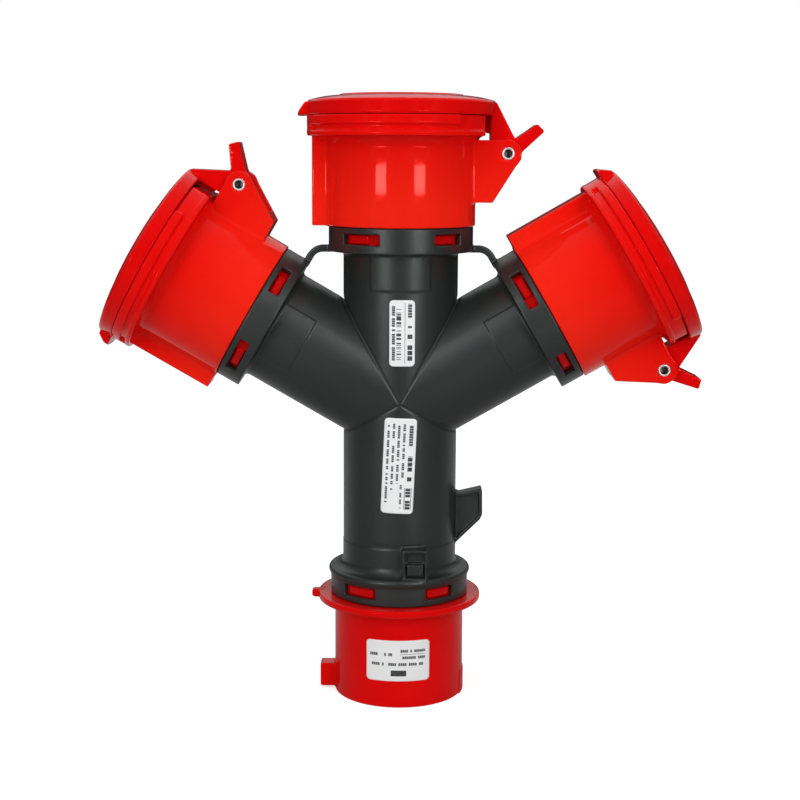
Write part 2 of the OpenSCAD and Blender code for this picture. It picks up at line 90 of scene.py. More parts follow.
from mathutils import Matrix, Vector

cad_low, cad_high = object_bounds()
single = np.float32

# --------------------------------------------------------------------------
# Shared dimensions, in millimetres
# --------------------------------------------------------------------------
JOINTS = {joint["name"]: joint for joint in frame["joints"]}
top_hinge = Vector(JOINTS["lid_top_hinge"]["pos_m"]) * 1000.0
CROSS = 149.0                         # height of the crossing
HINGE_X = top_hinge.x                 # hinge's distance from an arm's axis
HINGE_Z = top_hinge.z - CROSS         # hinge's distance along an arm
ARM_ANGLES = {"top": 0.0, "left": -60.0, "right": 60.0}

ARM_RADIUS, WALL = 27.8, 3.0
COLLAR_RADIUS, COLLAR_START, COLLAR_END = 34.9, 71.3, 83.4
COLLAR_BORE = 31.8
STEM_BOTTOM = 51.0
PLUG_RADIUS = 32.0
SPIGOT_RADIUS, LUG_RADIUS = 31.4, 32.7
SEAL_GROOVE = (30.15, 33)             # inner and outer radius

# Bayonet windows and lugs: (angle from the front toward +X, width), in degrees
ARM_WINDOWS = [(-33.5, 34), (40.8, 26), (109, 30), (181, 30), (253, 30)]
ARM_LUGS = [(-37.3, 20), (38.8, 20), (106, 20), (178, 20), (250, 20)]
PLUG_WINDOWS = [(-35.4, 31), (36.4, 27), (108, 30), (180, 30), (252, 30)]
PLUG_LUGS = [(-34.4, 25), (36.6, 23), (108, 24), (180, 24), (252, 24)]
ARM_WINDOW_SPAN = (75.4, 80.5)        # along the arm
PLUG_WINDOW_SPAN = (54.0, 59.5)       # height

# Parting creases: (angle from +Z toward +X in degrees, groove length, length painted dark in the
# crease as painted shade)
CREASES = [(30, 70.0, 70.0), (-30, 70.0, 70.0), (120, 38.0, 36.0), (-120, 38.0, 36.0)]


def arm_matrix(degrees):
    """Arm frame to the row frame, in metres."""
    lift = Matrix.Translation((0, 0, CROSS / 1000.0))
    return lift @ Matrix.Rotation(math.radians(degrees), 4, "Y")


# --------------------------------------------------------------------------
# Distance fields: negative inside, with true round fillets
# --------------------------------------------------------------------------
def meet(first, second, fillet=0.0):
    """What lies in both shapes."""
    if fillet <= 0:
        return np.maximum(first, second)
    fillet = single(fillet)
    over_first = np.maximum(first + fillet, 0)
    over_second = np.maximum(second + fillet, 0)
    corner = np.sqrt(over_first * over_first + over_second * over_second)
    return np.minimum(np.maximum(first, second), -fillet) + corner


def join(first, second, fillet=0.0):
    """What lies in either shape."""
    if fillet <= 0:
        return np.minimum(first, second)
    fillet = single(fillet)
    under_first = np.maximum(fillet - first, 0)
    under_second = np.maximum(fillet - second, 0)
    corner = np.sqrt(under_first * under_first + under_second * under_second)
    return np.maximum(np.minimum(first, second), fillet) - corner


def cut(shape, tool, fillet=0.0):
    return meet(shape, -tool, fillet)


def slab(coord, low, high):
    return np.abs(coord - (low + high) / 2) - (high - low) / 2


def drum(radius, height, outer, bottom, top, edge=0.0):
    return meet(radius - outer, slab(height, bottom, top), edge)


def polygon(points, x, y):
    """Exact signed distance to a polygon."""
    nearest = np.full(np.broadcast(x, y).shape, 1e9, single)
    sign = np.ones(nearest.shape, single)
    for i in range(len(points)):
        start, end = points[i], points[i - 1]
        edge = end - start
        edge_x, edge_y = single(edge[0]), single(edge[1])
        from_x, from_y = x - single(start[0]), y - single(start[1])
        share = np.clip((from_x * edge_x + from_y * edge_y) / single(edge @ edge), 0, 1)
        off_x, off_y = from_x - edge_x * share, from_y - edge_y * share
        nearest = np.minimum(nearest, off_x * off_x + off_y * off_y)
        above, below = y >= single(start[1]), y < single(end[1])
        beside = edge_x * from_y > edge_y * from_x
        flip = (above & below & beside) | (~above & ~below & ~beside)
        sign = np.where(flip, -sign, sign)
    return sign * np.sqrt(nearest)


def inset(points, distance):
    """The polygon moved in, so that growing it back rounds its corners."""
    points = np.asarray(points, float)
    after = np.roll(points, -1, axis=0)
    before_x = np.roll(points[:, 0], -1)
    if np.sum(points[:, 0] * after[:, 1] - before_x * points[:, 1]) < 0:
        points = points[::-1]
    moved = []
    count = len(points)
    for i in range(count):
        point = points[i]
        edge_in, edge_out = point - points[i - 1], points[(i + 1) % count] - point
        normal_in = np.array([-edge_in[1], edge_in[0]]) / np.linalg.norm(edge_in)
        normal_out = np.array([-edge_out[1], edge_out[0]]) / np.linalg.norm(edge_out)
        normals = np.array([normal_in, normal_out])
        if abs(np.linalg.det(normals)) < 1e-6:
            moved.append(point + normal_in * distance)
        else:
            offsets = [normal_in @ point + distance, normal_out @ point + distance]
            moved.append(np.linalg.solve(normals, offsets))
    return moved


def rounded(points, x, y, corner):
    """Distance to a polygon with rounded corners."""
    return polygon(inset(points, corner), x, y) - corner


def facing(x, y, degrees):
    """(tangential, outward) coordinates at an angle from the front toward +X."""
    cos, sin = math.cos(math.radians(degrees)), math.sin(math.radians(degrees))
    return x * cos + y * sin, x * sin - y * cos


def half_chord(radius, degrees):
    return radius * math.sin(math.radians(degrees / 2))


def from_hinge(space):
    """Distance from the hinge's axis."""
    return np.sqrt((space.x - HINGE_X) ** 2 + (space.z - HINGE_Z) ** 2)


class Grid:
    """A regular grid of distances, in millimetres."""

    def __init__(self, low, high, step):
        self.step = step
        self.low = np.array(low, float)
        counts = [int(math.ceil((high[i] - low[i]) / step)) + 1 for i in range(3)]
        self.axes = [(low[i] + step * np.arange(counts[i])).astype(single) for i in range(3)]
        self.x = self.axes[0][:, None, None]
        self.y = self.axes[1][None, :, None]
        self.z = self.axes[2][None, None, :]

    def add(self, shape, fillet=0.0):
        self.field = join(self.field, shape, fillet)

    def carve(self, shape, fillet=0.0):
        self.field = cut(self.field, shape, fillet)

    def revolve(self, profile, space=None):
        """profile(radius, height) turned about the Z axis, by linear lookup in radius."""
        space = space or self
        x, y, z = space.x, space.y, space.z
        radius = np.sqrt(x * x + y * y)[:, :, 0]
        spacing = self.step / 4
        radii = (np.arange(int(radius.max() / spacing) + 3) * spacing).astype(single)
        table = profile(radii[:, None], z[0]).astype(single)
        place_in = radius / spacing
        index = place_in.astype(np.int32)
        share = (place_in - index)[:, :, None]
        return table[index] * (1 - share) + table[index + 1] * share

    def drum(self, outer, bottom, top, edge=0.0):
        return self.revolve(lambda r, z: drum(r, z, outer, bottom, top, edge))

    def tube(self, radii, bottom, top, edge=0.0):
        return self.revolve(lambda r, z: meet(slab(r, *radii), slab(z, bottom, top), edge))

    def sample(self, points):
        """Trilinear values of the field at points."""
        place_in = (points - self.low) / self.step
        place_in = np.clip(place_in, 0, np.array(self.field.shape) - 1.001)
        index = place_in.astype(int)
        share = place_in - index
        total = 0
        for i in (0, 1):
            for j in (0, 1):
                for k in (0, 1):
                    weight = ((share[:, 0] if i else 1 - share[:, 0])
                              * (share[:, 1] if j else 1 - share[:, 1])
                              * (share[:, 2] if k else 1 - share[:, 2]))
                    corner = self.field[index[:, 0] + i, index[:, 1] + j, index[:, 2] + k]
                    total = total + weight * corner
        return total

    def gradient(self, points, reach=0.5):
        slope = np.zeros_like(points)
        for k in range(3):
            shift = np.zeros(3)
            shift[k] = reach * self.step
            slope[:, k] = self.sample(points + shift) - self.sample(points - shift)
        return slope / (2 * reach * self.step)

    def settle(self, points):
        """Points moved onto the zero surface by three limited Newton steps."""
        for _ in range(3):
            slope = self.gradient(points)
            steepness = np.maximum((slope * slope).sum(1), 0.15)
            move = -(self.sample(points) / steepness)[:, None] * slope
            length = np.linalg.norm(move, axis=1, keepdims=True)
            move *= np.minimum(1.0, 0.35 * self.step / np.maximum(length, 1e-9))
            points = points + move
        return points

    def mesh(self, name, adaptivity):
        """A closed mesh of the zero surface, with its normals taken from the field."""
        band = 3 * self.step
        volume = vdb.FloatGrid(3.0 * self.step)
        volume.copyFromArray(np.clip(self.field, -band, band))
        points, tris, quads = volume.convertToPolygons(0.0, adaptivity)
        points = self.settle(self.low + points.astype(float) * self.step)
        normals = self.gradient(points, 0.75)
        normals /= np.maximum(np.linalg.norm(normals, axis=1, keepdims=True), 1e-9)
        faces = [group for group in (tris, quads) if len(group)]
        # outward winding, judged over the whole mesh
        group = faces[-1]
        origin = points[group[:, 0]]
        turned = np.cross(points[group[:, 1]] - origin, points[group[:, 2]] - origin)
        if (turned * normals[group[:, 0]]).sum() < 0:
            faces = [group[:, ::-1] for group in faces]
        loops = np.concatenate([group.ravel() for group in faces]).astype(np.int32)
        sizes = np.concatenate([np.full(len(group), group.shape[1]) for group in faces])
        sizes = sizes.astype(np.int32)
        mesh = bpy.data.meshes.new(name)
        mesh.vertices.add(len(points))
        mesh.vertices.foreach_set("co", (points / 1000.0).astype(single).ravel())
        mesh.loops.add(len(loops))
        mesh.loops.foreach_set("vertex_index", loops)
        mesh.polygons.add(len(sizes))
        mesh.polygons.foreach_set("loop_start", (np.cumsum(sizes) - sizes).astype(np.int32))
        mesh.update(calc_edges=True)
        mesh.validate()
        mesh.polygons.foreach_set("use_smooth", np.ones(len(mesh.polygons), bool))
        mesh.normals_split_custom_set_from_vertices(normals.astype(single))
        mesh.update()
        return mesh


class Window:
    """The part of a grid inside a box, where small features are worked."""

    def __init__(self, grid, low, high):
        self.grid = grid
        spans = []
        for i in range(3):
            first = int(np.searchsorted(grid.axes[i], low[i]))
            last = int(np.searchsorted(grid.axes[i], high[i], side="right"))
            spans.append(slice(first, max(last, first + 1)))
        self.where = tuple(spans)
        self.x = grid.x[spans[0]]
        self.y = grid.y[:, spans[1]]
        self.z = grid.z[:, :, spans[2]]

    def add(self, shape, fillet=0.0):
        self.grid.field[self.where] = join(self.grid.field[self.where], shape, fillet)

    def carve(self, shape, fillet=0.0):
        self.grid.field[self.where] = cut(self.grid.field[self.where], shape, fillet)

    def outline(self, points, corner):
        """An XZ outline, endless along Y."""
        return rounded(points, self.x, self.z, corner)

    def plate(self, shape, half_width, edge=0.0):
        """An endless XZ shape cut to a width centred on Y = 0."""
        return meet(shape, slab(self.y, -half_width, half_width), edge)

    def panel(self, x_span, z_span, edge):
        """A rectangle in X and Z, endless along Y."""
        return meet(slab(self.x, *x_span), slab(self.z, *z_span), edge)

    def block(self, x_span, half_width, z_span, edge, end_edge):
        post = meet(slab(self.x, *x_span), slab(self.y, -half_width, half_width), edge)
        return meet(post, slab(self.z, *z_span), end_edge)


def add_lugs(window, lugs, chord_radius, span):
    """Bayonet lugs round a spigot."""
    x, y = window.x, window.y
    radius = np.sqrt(x * x + y * y)
    for degrees, width in lugs:
        tangent, outward = facing(x, y, degrees)
        sector = meet(radius - LUG_RADIUS, 20 - outward)
        lug = meet(sector, np.abs(tangent) - half_chord(chord_radius, width), 0.9)
        window.add(meet(lug, slab(window.z, *span), 1.0), 0.3)


def bayonet_window(x, y, along, degrees, width, radius, span):
    tangent, outward = facing(x, y, degrees)
    opening = meet(np.abs(tangent) - half_chord(radius, width), slab(along, *span), 0.5)
    return np.maximum(opening, 24 - outward)


# --------------------------------------------------------------------------
# Lid, in an arm's frame
# --------------------------------------------------------------------------
LID_BASE = 135.75
# (radius, height)
LID_CAP = [
    (-20, 133), (45.2, LID_BASE), (45.2, 141.8), (44.4, 142.75), (41, 143.65),
    (37.6, 144.35), (33.5, 144.85), (30, 145.15), (-20, 145.3)]
LID_DISC = [(-20, 138), (29.5, 138), (29.5, 145.75), (-20, 145.75)]
# (x, z)
LID_LIP = [
    (-38, LID_BASE), (-46.5, 135.55), (-49.5, 135.3), (-49.6, 136.3), (-45.6, 141.8), (-38, 142)]
LID_ARM = [
    (42.4, 137.5), (42.4, 122), (45.6, 114.8), (HINGE_X, HINGE_Z),
    (56.3, 120.6), (53.5, 125.9), (45.2, 141.7), (42.4, 141.7)]
LID_LEVER = [
    (HINGE_X, 121.4), (54.6, 125.2), (64.4, 132.0), (68.0, 128.5), (57.8, 119.1), (53, 115.4)]
LID_RIB = [(39.7, 141), (39.7, 128.6), (41, 127.5), (43.4, 127.5), (43.4, 141)]
LID_HOOK = [(-26.5, 141), (-26.5, 135.4), (-25.4, 134.4), (-23.2, 134.4), (-23.2, 141)]


def lid_profile(radius, height):
    cap = rounded(LID_CAP, radius, height, 0.55)
    disc = rounded(LID_DISC, radius, height, 0.5)
    return meet(join(cap, disc, 0.35), LID_BASE - height, 0.3)


def lid_hinge_arm(grid):
    """Hinge arm with its eye, thumb lever and rib, and the holes for spring and pin."""
    window = Window(grid, (35, -12, 112), (69, 12, 147.5))
    to_hinge = from_hinge(window)
    arm = join(window.outline(LID_ARM, corner=0.35), to_hinge - 6.2, 1.2)
    arm = join(arm, window.outline(LID_LEVER, corner=0.9), 1.4)
    window.add(window.plate(arm, half_width=8.2, edge=0.45), 0.5)
    rib = window.outline(LID_RIB, corner=0.5)
    window.add(window.plate(rib, half_width=3, edge=0.5), 0.4)
    window.carve(window.plate(to_hinge - 6.7, half_width=4.3, edge=0.4), 0.25)   # spring gap
    window.carve(to_hinge - 2.85, 0.25)                                          # pin bore


def lid_mesh():
    grid = Grid((-51.5, -47, 112), (69, 47, 147.5), step=0.36)
    grid.field = grid.revolve(lid_profile)
    # finger lip opposite the hinge, its end rounded in plan
    window = Window(grid, (-51.5, -14, 133), (-35, 14, 146))
    lip = window.plate(window.outline(LID_LIP, corner=0.3), half_width=11, edge=1.0)
    radius = np.sqrt((window.x + 10) ** 2 + window.y * window.y)
    window.add(meet(lip, radius - 39.8, 0.5), 0.5)
    # hollow underside
    grid.carve(grid.drum(43.0, 120, 139.4, edge=0.8), 0.3)
    lid_hinge_arm(grid)
    # hook that catches a mated plug's fin
    window = Window(grid, (-30, -9, 132), (-20, 9, 141))
    hook = window.outline(LID_HOOK, corner=0.35)
    window.add(window.plate(hook, half_width=7, edge=0.4), 0.5)
    return grid.mesh("lid_shell", adaptivity=0.012)


# --------------------------------------------------------------------------
# Socket housing, in an arm's frame
# --------------------------------------------------------------------------
RIM_RADIUS, RIM_NECK, RIM_TOP = 45.2, 43.6, 135.6
RIM_GAP = math.radians(51)            # half angle of the raised ring's gap, about +X
# (radius, height)
SOCKET_FLARE = [(20, 123.2), (35.8, 123.4), (38.6, 126.2), (38.6, 129), (20, 129)]
# (x, z)
SOCKET_EAR = [
    (30, 94.9), (43.5, 94.9), (56.8, 116.0), (HINGE_X, 120), (51.6, 124.3), (30, 124.3)]
SOCKET_WEB = [
    (32, 94.9), (43.5, 94.9), (46.4, 99.6), (44.6, 100.6), (42.3, 96.9), (32, 96.9)]


def socket_barrel(radius, height):
    tube = drum(radius, height, 35.8, 83.6, 126.4, edge=0.5)
    return join(tube, rounded(SOCKET_FLARE, radius, height, 0.2), 1.2)


def socket_bore(radius, height):
    """Inside of the barrel and the seat of the carrier."""
    seat = join(drum(radius, height, 28.8, 84.9, 90), drum(radius, height, 26.2, 60, 90))
    return join(drum(radius, height, 32.6, 88, 150, edge=0.3), seat, 0.0)


def socket_rim(grid):
    """Bead, neck and interrupted raised ring, with a block opposite the hinge."""
    x, y = grid.x, grid.y
    bead = grid.drum(RIM_RADIUS, 126.0, 128.5, edge=0.5)
    neck = grid.drum(RIM_NECK, 126.6, RIM_TOP, edge=0.5)
    ring = grid.drum(RIM_RADIUS, 131.2, RIM_TOP, edge=0.5)
    in_gap = math.sin(RIM_GAP) * x - math.cos(RIM_GAP) * np.abs(y)
    ring = meet(ring, in_gap, 2.0)
    block_plan = meet(slab(y, -14.5, 14.5), x + 38, 0.3)
    block = meet(grid.drum(RIM_RADIUS, 127, RIM_TOP, edge=0.5), block_plan, 0.6)
    rim = join(join(bead, neck, 0.4), join(ring, block, 0.2), 0.4)
    return meet(rim, x - 39.3, 0.5)


def socket_ears(grid):
    """Hinge ears, the web that joins them and the holes for the pin."""
    window = Window(grid, (26, -16, 90), (59, 16, 130))
    to_hinge, off_centre = from_hinge(window), np.abs(window.y)
    ear = join(window.outline(SOCKET_EAR, corner=0.6), to_hinge - 6.4, 0.8)
    window.add(meet(ear, np.abs(off_centre - 10.75) - 2.25, 0.4), 1.5)
    window.add(window.plate(window.outline(SOCKET_WEB, corner=0.3), half_width=9.5), 0.3)
    window.carve(to_hinge - 2.81, 0.15)
    window.carve(meet(to_hinge - 3.6, 12.45 - off_centre), 0.15)


def socket_trough(grid):
    """Trough behind the rim, stopped at the hinge and at the keyway."""
    x = grid.x
    kept = meet(slab(x, -50, -30), np.abs(grid.y) - 7.8, 0.3)
    trough = grid.tube((36, 41.4), 129, 145, edge=0.5)
    return meet(trough, np.maximum(x - 37.3, -kept), 0.3)


def socket_mesh():
    grid = Grid((-47, -47, 73.5), (59, 47, 138.5), step=0.38)
    grid.field = grid.revolve(socket_barrel)
    # keyway bulge
    window = Window(grid, (-46, -14, 80), (-24, 14, 130))
    bulge = window.block((-42.5, -28.5), 9, (83.6, 127), edge=1.0, end_edge=0.4)
    window.add(bulge, 1.6)
    grid.add(socket_rim(grid), 0.6)
    grid.add(grid.drum(36, 126, 137.4, edge=0.6), 0.2)
    # spigot with bayonet lugs
    grid.add(grid.drum(SPIGOT_RADIUS, 74.5, 85, edge=0.4), 0.3)
    lug_span = (ARM_WINDOW_SPAN[0] + 0.2, ARM_WINDOW_SPAN[1] - 0.3)
    add_lugs(Window(grid, (-36, -36, 74), (36, 36, 82)), ARM_LUGS, 33.4, lug_span)
    socket_ears(grid)
    grid.carve(grid.revolve(socket_bore), 0.3)
    # keyway
    window = Window(grid, (-46, -14, 86), (-24, 14, 140))
    keyway = window.block((-40.1, -26), 5.3, (88, 150), edge=0.4, end_edge=0.4)
    window.carve(keyway, 0.3)
    grid.carve(socket_trough(grid), 0.3)
    grid.carve(grid.tube(SEAL_GROOVE, 81.3, 83.1), 0.1)
    return grid.mesh("socket_shell", adaptivity=0.012)


# --------------------------------------------------------------------------
# Plug housing, in the row frame
# --------------------------------------------------------------------------
def plug_profile(radius, height):
    barrel = drum(radius, height, PLUG_RADIUS, 0, 48, edge=0.7)
    return join(barrel, drum(radius, height, 40.3, 47.4, 50.8, edge=0.9), 2.6)


def plug_bore(radius, height):
    upper = join(drum(radius, height, 24.1, 40, 80),
                 drum(radius, height, 27.6, 50.9, 80, edge=0.4))
    return join(drum(radius, height, 28.8, -20, 48.1, edge=0.4), upper)


def plug_mesh():
    grid = Grid((-46, -42.5, -1.5), (43, 42.5, 64), step=0.38)
    grid.field = grid.revolve(plug_profile)
    # raised land at +X
    window = Window(grid, (17, -14, -1), (36, 14, 15))
    radius = np.sqrt(window.x * window.x + window.y * window.y)
    land = meet(radius - 32.5, np.abs(window.y) - 11, 0.4)
    window.add(meet(land, slab(window.z, 0, 11.6), 0.4), 0.2)
    # key at -X, and the nub on the flange above it
    window = Window(grid, (-43, -8, -1), (-26, 8, 18))
    window.add(window.block((-39.3, -29), 4.7, (1.3, 13.2), edge=0.9, end_edge=1.0), 0.9)
    window = Window(grid, (-46, -9, 41), (-29, 9, 56))
    window.add(window.block((-43.6, -37), 2.9, (46.9, 51.1), edge=1.6, end_edge=1.5), 0.6)
    # spigot with bayonet lugs
    grid.add(grid.drum(SPIGOT_RADIUS, 50, 62.5, edge=0.4), 0.4)
    add_lugs(Window(grid, (-36, -36, 52), (36, 36, 62)), PLUG_LUGS, 33.2, (54.4, 59.1))
    grid.carve(grid.revolve(plug_bore), 0.5)
    grid.carve(grid.tube(SEAL_GROOVE, 51.5, 53.3), 0.1)
    return grid.mesh("plug_shell", adaptivity=0.012)


# --------------------------------------------------------------------------
# Body housing, in the row frame
# --------------------------------------------------------------------------
# (x, z)
FIN = [
    (24, 72), (27.4, 75.4), (40, 87.8), (41.1, 90.4), (40.9, 102.4),
    (40.4, 103.6), (29.6, 101), (24, 102.8)]
FIN_RECESS = [(22, 72.6), (38.4, 88.8), (39.3, 91), (39.2, 101.3), (30, 99.2), (22, 102.0)]
STRAP_THICK, STRAP_HALF_WIDTH = 3.3, 3.5
STRAP_ALONG, STRAP_END = 72.3, 33.0   # along and across the arm, where a strap meets a collar
STRAP_BEND = 37.6                     # across the arm, where its bend starts


def body_arms(grid):
    """For each arm: coordinates across and along it, and the distance from its axis."""
    x, y, z = grid.x, grid.y, grid.z
    arms = {"top": (x, z - CROSS, np.sqrt(x * x + y * y))}
    for side in ("left", "right"):
        angle = math.radians(ARM_ANGLES[side])
        cos, sin = math.cos(angle), math.sin(angle)
        across = x * cos - (z - CROSS) * sin
        along = x * sin + (z - CROSS) * cos
        arms[side] = (across, along, np.sqrt(across * across + y * y))
    return arms


def plug_collar(radius, height):
    """Collar over the plug's spigot, with its rounded shoulder."""
    shoulder = join(drum(radius, height, 35.0, 60.8, 64.4, edge=1.8),
                    drum(radius, height, 27.9, 55, 78), 4.4)
    return join(drum(radius, height, 34.0, STEM_BOTTOM, 63, edge=0.5), shoulder, 1.3)


def body_flat(grid):
    """Very shallow flat on the front, above the plug collar, ending in a fine ledge."""
    window = Window(grid, (-18, -36, 66), (18, -20, 82))
    z = window.z
    grid.field[window.where] += (
        0.22 * np.clip((z - 68) / 8, 0, 1) * np.clip((80.3 - z) / 0.6, 0, 1)
        * np.clip((14 - np.abs(window.x)) / 3, 0, 1))


def body_boss(grid):
    """Boss with the stepped pocket, on the front."""
    window = Window(grid, (-5, -37, 58), (20, -18, 86))
    y = window.y
    window.add(meet(window.panel((1.6, 13.5), (63, 78.9), edge=0.7), -(y + 32.6), 0.6), 0.9)
    pocket = meet(window.panel((3.1, 12.7), (65.2, 77.7), edge=0.5), y + 29.6)
    step = meet(window.panel((3.9, 11.9), (66.1, 71.6), edge=0.4), -(y + 31.3), 0.4)
    window.carve(cut(pocket, step, 0.2), 0.3)
    window.carve(meet(window.panel((4.1, 11.7), (72.3, 76.9), edge=0.4), y + 28.4), 0.2)


def body_fin(grid):
    """Catch fin with a recess each side."""
    window = Window(grid, (22, -6, 70), (44, 6, 106))
    fin = window.plate(window.outline(FIN, corner=0.4), half_width=4.2, edge=0.5)
    recess = meet(window.outline(FIN_RECESS, corner=0.4), 2.6 - np.abs(window.y), 0.3)
    window.add(cut(fin, recess, 0.35), 1.0)


def strap_line():
    """(x, height above the crossing) along the left strap, from the top arm down."""
    turn = math.radians(60)
    cos, sin = math.cos(turn), math.sin(turn)
    half_cos, half_sin = math.cos(turn / 2), math.sin(turn / 2)
    bend = (STRAP_ALONG * half_sin - STRAP_BEND * half_cos) / half_sin
    line = [(-STRAP_END, STRAP_ALONG)]
    for i in range(13):
        angle = math.pi / 2 + turn * i / 12
        line.append((-STRAP_BEND + bend * math.cos(angle),
                     STRAP_ALONG - bend + bend * math.sin(angle)))
    line.append((-STRAP_ALONG * sin + STRAP_END * cos, STRAP_ALONG * cos + STRAP_END * sin))
    return line


def body_straps(grid):
    """Straps between the top collar and each side collar."""
    line = strap_line()
    for mirror, x_low, x_high in ((1, -60, -28), (-1, 28, 60)):
        window = Window(grid, (x_low, -5, 185), (x_high, 5, 226))
        x, z = window.x * mirror, window.z - CROSS
        nearest = np.full(np.broadcast(x, z).shape, 1e9, single)
        for start, end in zip(line[:-1], line[1:]):
            run, rise = end[0] - start[0], end[1] - start[1]
            share = (x - start[0]) * run + (z - start[1]) * rise
            share = np.clip(share / (run ** 2 + rise ** 2), 0, 1)
            off_x, off_z = x - start[0] - share * run, z - start[1] - share * rise
            nearest = np.minimum(nearest, off_x ** 2 + off_z ** 2)
        strap = np.sqrt(nearest) - STRAP_THICK / 2
        window.add(window.plate(strap, STRAP_HALF_WIDTH, edge=0.8), 0.8)


def body_bores(arms):
    stem_radius = arms["top"][2]
    bore = ARM_RADIUS - WALL
    inner = stem_radius - bore
    for side in ("left", "right"):
        _, along, radius = arms[side]
        inner = join(inner, np.maximum(radius - bore, -along), 0.5)
    for _, along, radius in arms.values():
        inner = join(inner, np.maximum(radius - COLLAR_BORE, 74.3 - along))
    return inner


def body_creases(grid):
    """Fine parting creases that run right to the crossing."""
    x, height = grid.x, grid.z - CROSS
    for degrees, length, _ in CREASES:
        cos, sin = math.cos(math.radians(degrees)), math.sin(math.radians(degrees))
        along, across = x * sin + height * cos, x * cos - height * sin
        grid.field = grid.field + (
            0.5 * np.exp(-(across / 0.55) ** 2) * np.clip(along / 1.0, 0, 1)
            * np.clip((length - along) / 12.0, 0, 1))


def body_mesh():
    grid = Grid((-93, -37, 49.5), (93, 37, 234), step=0.42)
    y, z = grid.y, grid.z
    arms = body_arms(grid)
    stem_radius = arms["top"][2]
    grid.field = drum(stem_radius, z, ARM_RADIUS, STEM_BOTTOM, CROSS + COLLAR_END, edge=0.3)
    for side in ("left", "right"):
        _, along, radius = arms[side]
        arm = meet(radius - (ARM_RADIUS - 0.06), along - COLLAR_END, 0.3)
        grid.add(meet(arm, -along), 0.45)
    # collars with a soft fillet where they meet the arm, and the shallow front panels
    for across, along, radius in arms.values():
        grid.add(drum(radius, along, COLLAR_RADIUS, COLLAR_START, COLLAR_END, edge=0.5), 2.2)
        panel = meet(radius - (ARM_RADIUS + 0.34), np.abs(across) - 14.3, 0.2)
        panel = meet(panel, slab(along, 53.8, COLLAR_START + 1), 0.2)
        grid.add(meet(panel, y + 5))
    window = Window(grid, (-37, -37, 49.5), (37, 37, 78))
    window.add(grid.revolve(plug_collar, window), 0.4)
    body_flat(grid)
    body_boss(grid)
    body_fin(grid)
    body_straps(grid)
    inner = body_bores(arms)
    inner = join(inner, np.maximum(stem_radius - COLLAR_BORE, z - 63))
    grid.carve(inner, 0.3)
    for across, along, _ in arms.values():
        for degrees, width in ARM_WINDOWS:
            grid.carve(bayonet_window(across, y, along, degrees, width,
                                      COLLAR_RADIUS, ARM_WINDOW_SPAN), 0.25)
    window = Window(grid, (-37, -37, 52), (37, 37, 62))
    for degrees, width in PLUG_WINDOWS:
        window.carve(bayonet_window(window.x, window.y, window.z, degrees, width,
                                    34, PLUG_WINDOW_SPAN), 0.25)
    body_creases(grid)
    return grid.mesh("body_shell", adaptivity=0.003)


# --------------------------------------------------------------------------
# Materials
# --------------------------------------------------------------------------
class Shader:
    """Short ways to build a node tree. Values may be numbers or sockets."""

    def __init__(self, tree):
        self.tree = tree

    def new(self, kind, **settings):
        node = self.tree.nodes.new(kind)
        for key, value in settings.items():
            setattr(node, key, value)
        return node

    def link(self, source, target):
        self.tree.links.new(source, target)

    def put(self, socket, value):
        if isinstance(value, bpy.types.NodeSocket):
            self.link(value, socket)
        else:
            socket.default_value = value

    def math(self, operation, first, second=None, clamp=False):
        node = self.new("ShaderNodeMath", operation=operation, use_clamp=clamp)
        self.put(node.inputs[0], first)
        if second is not None:
            self.put(node.inputs[1], second)
        return node.outputs[0]

    def add(self, first, second):
        return self.math("ADD", first, second)

    def minus(self, first, second, clamp=False):
        return self.math("SUBTRACT", first, second, clamp)

    def times(self, first, second, clamp=False):
        return self.math("MULTIPLY", first, second, clamp)


